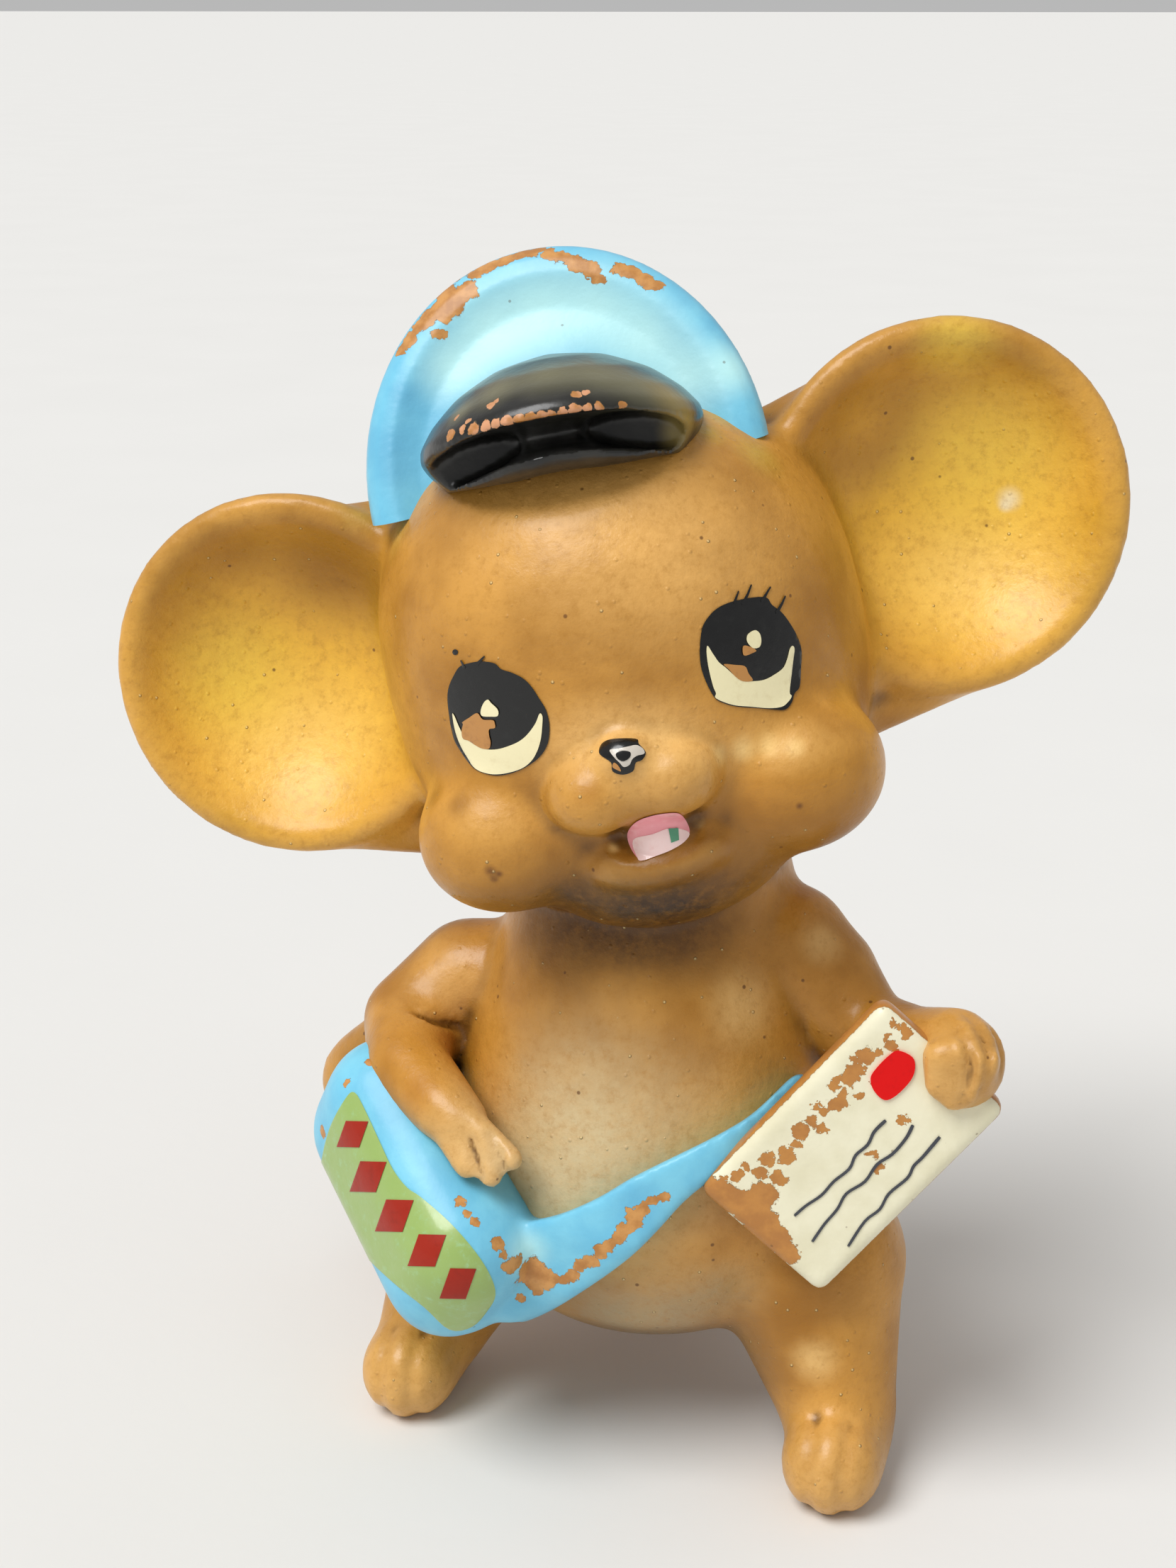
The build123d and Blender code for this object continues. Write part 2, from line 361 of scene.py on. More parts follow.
@dataclass
class Viewpoint:
    """Where the photograph was taken from, and the rays through its pixels."""

    place: Point = (38.56, -139.77, 94.63)
    target: Point = (-5.174, 12.736, 40.0)
    lens: float = 52.0
    nearest_tries: int = 6

    @property
    def focal(self) -> float:
        """The focal length in pixels."""
        return self.lens / SENSOR * IMAGE_HEIGHT

    def turn(self) -> Matrix:
        """The camera's turn."""
        return (Vector(self.target) - Vector(self.place)).to_track_quat("-Z", "Y").to_matrix()

    def ray(self, pixel: Pixel) -> Vector:
        """The line of sight through a pixel, one unit deep along the view's axis."""
        across = (pixel[0] - IMAGE_WIDTH / 2) / self.focal
        down = (pixel[1] - IMAGE_HEIGHT / 2) / self.focal
        return self.turn() @ Vector((across, -down, -1.0))

    def spot(self, pixel: Pixel, tree: BVHTree) -> Vector:
        """Where the line of sight through a pixel meets a surface, or passes nearest to it."""
        eye, line = Vector(self.place), self.ray(pixel).normalized()
        place = tree.ray_cast(eye, line)[0]
        if place is None:
            reach = (Vector(self.target) - eye).length
            for _ in range(self.nearest_tries):
                place = tree.find_nearest(eye + line * reach)[0]
                reach = (place - eye).dot(line)
        return place

    def depth(self, place: Vector) -> float:
        """How deep a place lies along the view's axis."""
        return (place - Vector(self.place)).dot(self.turn() @ Vector((0, 0, -1)))

    def wedge(self, pixels: Pixels, near: float, far: float) -> Piece:
        """A closed block whose sides follow the lines of sight through an outline.

        Args:
            pixels: The outline in the photograph.
            near, far: The depths of its two ends.

        Returns:
            The new object.
        """
        clear_selection()
        bpy.ops.mesh.primitive_circle_add(vertices=len(pixels), fill_type="NGON")
        block = bpy.context.object
        for vertex, pixel in zip(block.data.vertices, pixels):
            vertex.co = Vector(self.place) + self.ray(pixel) * near
        with editing(block):
            bpy.ops.mesh.extrude_region_move()
            bpy.ops.transform.resize(value=(far / near,) * 3, center_override=self.place)
            bpy.ops.mesh.select_all(action="SELECT")
            bpy.ops.mesh.normals_make_consistent(inside=False)
        return block

    def width_at(self, place: Vector, pixels: float) -> float:
        """How many millimetres a number of pixels spans at a place."""
        return pixels * self.depth(place) / self.focal

    def stand(self) -> None:
        """Set the scene's camera up at the viewpoint."""
        clear_selection()
        bpy.ops.object.camera_add(location=Vector(self.place) * METRES, rotation=self.turn().to_euler())
        camera = bpy.context.object
        camera.data.lens = self.lens
        camera.data.sensor_width = SENSOR
        camera.data.clip_start = 0.01
        camera.data.dof.use_dof = False
        bpy.context.scene.camera = camera


VIEW = Viewpoint()


# Finishes


class Shader:
    """One material's node tree, built from the bottom up."""

    def __init__(self, name: str) -> None:
        """Start an empty principled material."""
        self.material = bpy.data.materials.new(name)
        self.material.use_nodes = True
        self.nodes = self.material.node_tree.nodes
        self.links = self.material.node_tree.links
        self.surface = self.nodes["Principled BSDF"]
        self.surface.inputs["Specular IOR Level"].default_value = 0.3
        self.here = self.nodes.new("ShaderNodeTexCoord").outputs["Object"]
        self.ragged = self.here

    def plug(self, source: object, socket: Socket) -> None:
        """Link a socket, or write a plain value into it."""
        if isinstance(source, Socket):
            self.links.new(source, socket)
        else:
            socket.default_value = source

    def math(self, how: str, first: object, second: object) -> Socket:
        """One sum of two numbers."""
        node = self.nodes.new("ShaderNodeMath")
        node.operation = how
        self.plug(first, node.inputs[0])
        self.plug(second, node.inputs[1])
        return node.outputs[0]

    def vector(self, how: str, *sources: object, output: int | str = 0) -> Socket:
        """One sum of vectors."""
        node = self.nodes.new("ShaderNodeVectorMath")
        node.operation = how
        for source, socket in zip(sources, node.inputs):
            self.plug(source, socket)
        return node.outputs[output]

    def noise(self, size: float, detail: float = 3.0, rough: float = 0.55, output: int | str = 0) -> Socket:
        """Smooth noise whose patches are about a size in millimetres."""
        node = self.nodes.new("ShaderNodeTexNoise")
        self.links.new(self.here, node.inputs["Vector"])
        node.inputs["Scale"].default_value = 1 / (size * METRES)
        node.inputs["Detail"].default_value = detail
        node.inputs["Roughness"].default_value = rough
        return node.outputs[output]

    def cells(self, size: float) -> Socket:
        """The distance to the nearest of scattered points, in cells of a size in millimetres."""
        node = self.nodes.new("ShaderNodeTexVoronoi")
        self.links.new(self.here, node.inputs["Vector"])
        node.inputs["Scale"].default_value = 1 / (size * METRES)
        return node.outputs["Distance"]

    def ease(self, value: object, low: float, high: float, to: tuple[float, float] = (0.0, 1.0)
             ) -> Socket:
        """A number spread smoothly over a range and held at its ends."""
        node = self.nodes.new("ShaderNodeMapRange")
        node.interpolation_type = "SMOOTHSTEP"
        self.plug(value, node.inputs["Value"])
        for name, number in zip(("From Min", "From Max", "To Min", "To Max"), (low, high, *to)):
            node.inputs[name].default_value = number
        return node.outputs["Result"]

    def attribute(self, name: str) -> Socket:
        """A number kept on the mesh."""
        node = self.nodes.new("ShaderNodeAttribute")
        node.attribute_name = name
        return node.outputs["Fac"]

    def fray(self, size: float, reach: float) -> None:
        """Shift the places that clouds are measured from, so that their edges fray.

        Args:
            size: The size of the frays in millimetres.
            reach: How far they reach in millimetres.
        """
        noise = self.noise(size, 4.0, 0.65, "Color")
        shift = self.vector("MULTIPLY_ADD", noise, (2 * reach * METRES,) * 3, (-reach * METRES,) * 3)
        self.ragged = self.vector("ADD", self.here, shift)

    def cloud(self, middle: Point, radii: Point) -> Socket:
        """A soft-edged ball of 1 at the middle and 0 outside, as an airbrush leaves.

        Args:
            middle: Its centre on the bench.
            radii: Where it has faded out.

        Returns:
            The share of colour.
        """
        shift = self.vector("SUBTRACT", self.ragged, Vector(middle) * METRES)
        reach = self.vector("DIVIDE", shift, Vector(radii) * METRES)
        return self.ease(self.vector("LENGTH", reach, output="Value"), 1.0, 0.0)

    def mix(self, share: object, under: object, over: object) -> Socket:
        """One colour laid over another by a share."""
        node = self.nodes.new("ShaderNodeMix")
        node.data_type = "RGBA"
        self.plug(share, node.inputs[MIX_SHARE])
        self.plug(under, node.inputs[MIX_UNDER])
        self.plug(over, node.inputs[MIX_OVER])
        return node.outputs[MIXED]

    def lay(self, under: object, mask: object, share: object, over: object) -> Socket:
        """One colour laid over another where a mask is set, at a share of its strength."""
        return self.mix(self.math("MULTIPLY", mask, share), under, over)

    def bump(self, height: object, depth: float, under: object = None) -> Socket:
        """Relief of a depth in millimetres."""
        node = self.nodes.new("ShaderNodeBump")
        node.inputs["Strength"].default_value = 1.0
        node.inputs["Distance"].default_value = depth * METRES
        self.plug(height, node.inputs["Height"])
        if under is not None:
            self.links.new(under, node.inputs["Normal"])
        return node.outputs[0]

    def close(self, colour: object, rough: object, relief: object, coat: float, coat_rough: float
              ) -> Material:
        """Finish the material."""
        self.plug(colour, self.surface.inputs["Base Color"])
        self.plug(rough, self.surface.inputs["Roughness"])
        self.plug(relief, self.surface.inputs["Normal"])
        self.surface.inputs["Coat Weight"].default_value = coat
        self.surface.inputs["Coat Roughness"].default_value = coat_rough
        return self.material


@dataclass(frozen=True)
class Cloud:
    """One soft patch of colour: an airbrushed tone, painted shade, a painted highlight and flaked paint all
    use it. It holds a colour, where it is laid and how thickly.
    """

    colour: Colour
    middle: Point
    radii: Point
    share: float = 1.0


def dabs(tree: BVHTree, colour: Colour, share: float, marks: Marks) -> tuple[Cloud, ...]:
    """Round passes of colour placed on a surface by the photograph.

    Args:
        tree: The surface.
        colour: Their colour.
        share: How thickly they are laid.
        marks: For each its pixel and its radius in pixels.

    Returns:
        The passes, in order.
    """
    laid = []
    for x, y, radius in marks:
        middle = VIEW.spot((x, y), tree)
        laid.append(Cloud(colour, tuple(middle), (VIEW.width_at(middle, radius),) * 3, share))
    return tuple(laid)


@dataclass(frozen=True)
class AirbrushedClay:
    """Tan clay under airbrushed browns, painted shade, painted highlights and a satin glaze."""

    name: str = "airbrushed_clay"
    base: Colour = srgb(204, 146, 60)
    deep: Colour = srgb(162, 108, 28)
    # Painted shade for hollows and creases, painted highlight for raised spots
    painted_shade: Colour = srgb(88, 54, 12)
    painted_highlight: Colour = srgb(232, 180, 104)
    speck: Colour = srgb(92, 52, 16)
    grit: Colour = srgb(252, 226, 160)
    clouds: tuple[Cloud, ...] = ()

    def make(self) -> Material:
        """Build the material."""
        shader = Shader(self.name)
        colour = shader.mix(shader.ease(shader.noise(9.0), 0.35, 0.7), self.base, self.deep)
        grain = shader.ease(shader.noise(1.2, 5.0, 0.7), 0.25, 0.75, (0.78, 1.08))
        for cloud in self.clouds:
            soft_patch = shader.math("MULTIPLY", shader.cloud(cloud.middle, cloud.radii), grain)
            colour = shader.lay(colour, soft_patch, cloud.share, cloud.colour)
        # Painted shade: darker brown laid into hollows and creases, partly as pooled airbrush
        hollow = shader.ease(shader.attribute("hollow"), 0.01, 0.16)
        colour = shader.lay(colour, hollow, 0.88, self.painted_shade)
        # Painted highlight: lighter colour laid on raised spots
        proud = shader.ease(shader.attribute("hollow"), -0.03, -0.22)
        colour = shader.lay(colour, proud, 0.4, self.painted_highlight)
        mottle = shader.ease(shader.noise(0.7, 6.0, 0.75), 0.45, 0.75)
        colour = shader.lay(colour, mottle, 0.4, self.deep)
        speck = shader.ease(shader.cells(2.9), 0.06, 0.03)
        colour = shader.lay(colour, speck, 0.75, self.speck)
        grit = shader.ease(shader.cells(1.5), 0.09, 0.03)
        colour = shader.lay(colour, grit, 0.5, self.grit)
        relief = shader.bump(shader.noise(0.8, 4.0, 0.65), 0.08)
        relief = shader.bump(shader.ease(shader.cells(1.1), 0.16, 0.02), 0.05, relief)
        relief = shader.bump(grit, 0.11, relief)
        rough = shader.ease(shader.noise(3.0, 4.0), 0.3, 0.7, (0.34, 0.46))
        return shader.close(colour, rough, relief, 0.2, 0.22)


@dataclass(frozen=True)
class FlakingPaint:
    """Overglaze paint that has flaked off to the clay where it was handled."""

    name: str
    paint: Colour
    tint: Colour
    worn: tuple[Cloud, ...] = ()
    tints: tuple[Cloud, ...] = ()
    clay: Colour = srgb(208, 150, 84)
    deep_clay: Colour = srgb(178, 120, 60)
    rubbed: Colour = srgb(150, 128, 92)
    speck: Colour = srgb(96, 66, 36)
    fray: float = 0.9
    fray_size: float = 1.5
    rough: float = 0.42
    coat: float = 0.18

    def make(self) -> Material:
        """Build the material."""
        shader = Shader(self.name)
        colour = shader.mix(shader.ease(shader.noise(3.2, 4.0), 0.35, 0.7), self.paint, self.tint)
        for cloud in self.tints:
            colour = shader.lay(colour, shader.cloud(cloud.middle, cloud.radii), cloud.share, cloud.colour)
        shader.fray(self.fray_size, self.fray)
        wear = shader.attribute("bare")
        for cloud in self.worn:
            soft_patch = shader.math("MULTIPLY", shader.cloud(cloud.middle, cloud.radii), cloud.share)
            wear = shader.math("MAXIMUM", wear, soft_patch)
        edge = shader.math("ADD", wear, shader.math("MULTIPLY", shader.noise(0.5, 5.0, 0.7), 0.5))
        bare = shader.ease(edge, 0.64, 0.67)
        clay = shader.mix(shader.ease(shader.noise(1.1, 4.0), 0.35, 0.65), self.clay, self.deep_clay)
        colour = shader.mix(shader.ease(edge, 0.57, 0.64, (0.0, 0.35)), colour, self.rubbed)
        colour = shader.mix(bare, colour, clay)
        speck = shader.ease(shader.cells(2.3), 0.05, 0.03)
        colour = shader.lay(colour, speck, 0.5, self.speck)
        relief = shader.bump(shader.noise(1.0, 3.0, 0.6), 0.04)
        relief = shader.bump(shader.math("SUBTRACT", 1.0, bare), 0.09, relief)
        return shader.close(colour, self.rough, relief, self.coat, 0.22)


@dataclass(frozen=True)
class Enamel:
    """A small brushed-on film of glossy paint."""

    name: str
    paint: Colour
    tint: Colour
    rough: float = 0.3
    gloss: float = 0.5

    @cache
    def make(self) -> Material:
        """Build the material, once for each finish."""
        shader = Shader(self.name)
        colour = shader.mix(shader.ease(shader.noise(0.8, 5.0, 0.7), 0.5, 0.85), self.paint, self.tint)
        relief = shader.bump(shader.noise(0.6, 3.0), 0.02)
        rough = shader.ease(shader.noise(0.9), 0.3, 0.7, (self.rough, self.rough + 0.12))
        shader.surface.inputs["Specular IOR Level"].default_value = self.gloss
        return shader.close(colour, rough, relief, self.gloss, 0.12)


# Forms

HEAD_MIDDLE = (1.671, -1.409, 53.8)
HEAD_PLACE = (
    Matrix.Translation(HEAD_MIDDLE) @ tilt(13, "Z")
    @ tilt(-6, "X") @ tilt(-13.5, "Y")
)
TORSO_PLACE = Matrix.Translation((3.571, -0.409, 0.0))


def on_head(place: Point) -> Point:
    """A place in the head's frame, taken to the bench."""
    return tuple(HEAD_PLACE @ Vector(place))


def on_torso(place: Point) -> Point:
    """A place measured from the torso's axis, taken to the bench."""
    return tuple(TORSO_PLACE @ Vector(place))


@dataclass
class Head:
    """Skull, cheeks, muzzle, lip and the two ears, in the head's own frame."""

    skull: Profile = (
        (0.0, -15.9), (3.5, -15.8), (7.0, -15.1), (10.3, -13.2), (13.0, -9.9), (14.7, -6.4), (15.6, -2.5),
        (15.75, 1.5), (15.6, 5.0), (14.9, 8.2), (13.2, 11.6), (10.6, 14.3), (7.2, 16.4), (3.6, 17.6),
        (0.0, 18.0),
    )
    chin: Form = ((0.2, -7.6, -10.6), (8.5, 6.0, 5.2))
    cheek: Form = ((9.0, -8.8, -7.4), (6.0, 5.8, 5.2))
    lip: Form = ((0.1, -12.6, -10.0), (4.7, 2.5, 2.0))
    mouth: Form = ((0.3, -15.3, -7.65), (3.9, 3.0, 2.3))
    mouth_tilt: float = 2.0
    muzzle: Sequence[Form] = (
        ((-0.3, -12.8, -4.1), (5.3, 4.4, 3.5)), ((-2.7, -14.3, -4.9), (3.1, 3.3, 2.6)),
        ((2.0, -14.3, -4.8), (3.1, 3.3, 2.6)), ((-0.4, -15.8, -2.8), (1.8, 1.9, 1.45)),
        ((0.5, -12.8, -8.5), (2.1, 1.9, 1.5)),
    )
    ear_middle: Point = (22.2, 0.94, 4.5)
    ear_lifts: dict[Side, float] = field(default_factory=lambda: {Side.LEFT: 0.7, Side.RIGHT: -0.6})
    ear_radius: float = 12.4
    ear_lip: float = 1.1
    ear_cup: float = 5.2
    ear_swing: float = 8.0
    lower_web: Bone = ((23.5, 2.6, -6.3), (13.0, 2.8, -8.0), 1.5, 2.4)
    lower_web_lift: float = 1.6
    upper_web: Bone = ((17.0, 2.4, 13.4), (11.0, 2.8, 11.4), 1.4, 2.4)
    seam: Points = ((15.0, 4.6, -8.0), (15.3, 5.4, -3.0), (15.4, 5.5, 4.0), (14.6, 4.8, 11.0))
    seam_rounds: Numbers = (1.3, 1.5, 1.5, 0.9)

    def beside(self, side: Side, place: Point, lifted: float = 1.0) -> Point:
        """A place at the left ear, taken to one side and lifted as far as that side's ear is."""
        x, y, z = place
        return (side.value * x, y, z + lifted * self.ear_lifts[side])

    def ear(self, side: Side) -> Piece:
        """One ear: a bowl of even wall with a rounded lip, and the webs that tie it to the head."""
        rim = self.ear_radius - self.ear_lip
        sphere = (rim ** 2 + self.ear_cup ** 2) / (2 * self.ear_cup)
        spread = math.asin(rim / sphere)
        turns = np.linspace(0.0, spread, 16)
        back, front = (
            [(reach * math.sin(turn), sphere - reach * math.cos(turn)) for turn in turns]
            for reach in (sphere + self.ear_lip, sphere - self.ear_lip)
        )
        lip = [
            (rim + self.ear_lip * math.cos(turn), self.ear_cup + self.ear_lip * math.sin(turn))
            for turn in np.linspace(spread - math.pi / 2, spread + math.pi / 2, 9)[1:-1]
        ]
        bowl = lathe([*back, *lip, *front[::-1]])
        swing = tilt(self.ear_swing * side.value, "Z")
        face_front = tilt(90, "X") @ Matrix.Translation((0, 0, -self.ear_cup))
        settle(bowl, Matrix.Translation(self.beside(side, self.ear_middle)) @ swing @ face_front)
        start, end, *rounds = self.lower_web
        lower = rod(self.beside(side, start), self.beside(side, end, self.lower_web_lift), *rounds)
        start, end, *rounds = self.upper_web
        upper = rod(self.beside(side, start), self.beside(side, end, 0.0), *rounds)
        behind = smooth_chain([self.beside(side, place) for place in self.seam], self.seam_rounds, 3)
        return join([bowl, lower, upper, behind])

    def make(self) -> Piece:
        """The head and its ears, welded, with the mouth cut and the muzzle raised over it."""
        (x, y, z), cheek_radii = self.cheek
        cheeks = [ball((side.value * x, y, z), cheek_radii) for side in Side]
        head = weld(join([lathe(self.skull), ball(*self.chin), *cheeks]), COARSE, passes=7)
        head = weld(join([head, self.ear(Side.LEFT), self.ear(Side.RIGHT)]), MEDIUM, passes=7)
        head = weld(join([head, ball(*self.lip)]), MEDIUM, passes=4)
        combine(head, ball(*self.mouth, tilt(self.mouth_tilt, "Y")), "DIFFERENCE")
        head = weld(join([head, *(ball(*form) for form in self.muzzle)]), FINE, passes=3)
        return settle(head, HEAD_PLACE)


@dataclass
class Torso:
    """The bell of the body, measured from its own axis."""

    outline: Profile = (
        (0.0, 6.9), (5.0, 7.1), (9.3, 8.4), (12.6, 11.2), (14.3, 15.2), (14.7, 19.4), (14.0, 24.2),
        (12.6, 29.2), (11.0, 34.0), (9.4, 38.4), (8.6, 42.0), (0.0, 42.0),
    )

    def make(self) -> Piece:
        """The bare torso."""
        return settle(lathe(self.outline), TORSO_PLACE)


@dataclass
class Limbs:
    """Arms, legs, feet and tail, measured from the torso's axis."""

    left_arm: Points = (
        (9.05, -0.9, 34.6), (11.6, -1.5, 33.0), (15.2, -3.5, 30.4), (18.8, -6.3, 31.2), (21.5, -8.4, 32.3),
    )
    left_rounds: Numbers = (4.6, 4.0, 2.9, 2.6, 2.7)
    right_arm: Points = (
        (-9.05, -0.9, 30.4), (-13.1, -1.5, 30.1), (-16.5, -4.1, 27.6), (-14.9, -9.6, 26.9),
        (-11.0, -13.1, 25.9), (-9.8, -13.8, 25.4),
    )
    right_rounds: Numbers = (4.1, 4.2, 3.5, 2.8, 2.25, 2.0)
    tail: Points = (
        (0.0, 8.8, 10.9), (0.75, 15.8, 5.7), (-5.5, 18.4, 2.4), (-15.5, 15.5, 3.8), (-22.75, 9.2, 9.9),
        (-25.0, 4.4, 17.7), (-20.5, 1.8, 23.6),
    )
    tail_rounds: Numbers = (3.2, 3.2, 2.4, 2.4, 2.15, 2.15, 1.9)
    toe_reaches: dict[Side, float] = field(default_factory=lambda: {Side.LEFT: 12.2, Side.RIGHT: 9.6})
    stance: float = 15.4
    hip_round: float = 6.9
    ankle_round: float = 4.1
    toe_round: float = 3.5
    toe_rise: float = 3.0
    foot_length: float = 4.5
    hip: Point = (11.8, 7.95, 13.5)
    ankle_inset: float = 0.5
    ankle_rise: float = 4.6
    groove: float = 0.7
    groove_aside_share: float = 0.36
    groove_stand: float = 0.25
    groove_back: float = 0.4
    fist: Form = ((22.2, -9.2, 31.9), (2.6, 2.8, 3.0))
    knuckle: Point = (22.2, -10.9, 33.4)
    knuckle_spread: float = 1.3
    knuckle_drop: float = 0.5
    finger_rounds: tuple[float, float] = (1.15, 0.95)
    fingertip: Point = (21.9, -11.2, 30.4)
    fingertip_spread: float = 0.95
    fingertip_rise: float = 0.7
    open_knuckle: Point = (-10.9, -14.2, 25.4)
    open_step: tuple[float, float] = (0.8, 0.4)
    open_rounds: tuple[float, float] = (1.0, 0.8)
    open_tips: Points = ((-8.6, -15.9, 23.3), (-6.8, -16.2, 23.1), (-5.5, -15.8, 24.3))

    def toe(self, side: Side) -> Point:
        """The middle of the toes' ball."""
        return (side.value * self.stance, -self.toe_reaches[side], self.toe_rise)

    def leg_line(self, side: Side) -> tuple[Point, Point]:
        """Hip and ankle."""
        x, y, z = self.toe(side)
        aside, back, rise = self.hip
        ankle = (x - side.value * self.ankle_inset, y + self.foot_length, self.ankle_rise)
        return (side.value * aside, y + back, rise), ankle

    def leg(self, side: Side) -> Piece:
        """Thigh, shin and foot."""
        hip, ankle = self.leg_line(side)
        x, y, z = self.toe(side)
        foot = rod((x, y + self.foot_length, z), (x, y, z), self.toe_round, self.toe_round)
        return join([rod(hip, ankle, self.hip_round, self.ankle_round), foot])

    def toe_grooves(self) -> list[Piece]:
        """Half rings that part the toes."""
        rings = []
        for side in Side:
            x, y, z = self.toe(side)
            for column in (-1, 1):
                aside = column * self.toe_round * self.groove_aside_share
                clear_selection()
                bpy.ops.mesh.primitive_torus_add(
                    major_radius=math.sqrt(self.toe_round ** 2 - aside ** 2) + self.groove_stand,
                    minor_radius=self.groove, major_segments=48, minor_segments=10,
                    rotation=(0, math.radians(90), 0),
                )
                ring = settle(bpy.context.object, TORSO_PLACE @ Matrix.Translation((x + aside, y, z)))
                bisect(ring, on_torso((x, y + self.groove_back, z)), (0, -1, 0))
                rings.append(ring)
        return rings

    def arms(self) -> list[Piece]:
        """Both arms without fingers."""
        return [chain(self.left_arm, self.left_rounds), chain(self.right_arm, self.right_rounds)]

    def fingers(self) -> list[Piece]:
        """Fingers of both hands."""
        made = [ball(*self.fist)]
        for column in (-1, 0, 1):
            x, y, z = self.knuckle
            start = (x + column * self.knuckle_spread, y, z - abs(column) * self.knuckle_drop)
            x, y, z = self.fingertip
            end = (x + column * self.fingertip_spread, y, z + abs(column) * self.fingertip_rise)
            made.append(rod(start, end, *self.finger_rounds))
        x, y, z = self.open_knuckle
        aside, up = self.open_step
        for column, tip in enumerate(self.open_tips):
            made.append(rod((x + column * aside, y, z + column * up), tip, *self.open_rounds))
        return made


def tree_of(piece: Piece) -> BVHTree:
    """The surface of a piece, ready for lines of sight."""
    mesh = piece.data
    places = [vertex.co for vertex in mesh.vertices]
    return BVHTree.FromPolygons(places, [tuple(polygon.vertices) for polygon in mesh.polygons])


def bisect(piece: Piece, spot: Point, keep: Point) -> Piece:
    """Cut a closed form at a plane, keep the side that an arrow points to and close it."""
    with editing(piece):
        bpy.ops.mesh.bisect(plane_co=spot, plane_no=keep, use_fill=True, clear_inner=True)
    return piece


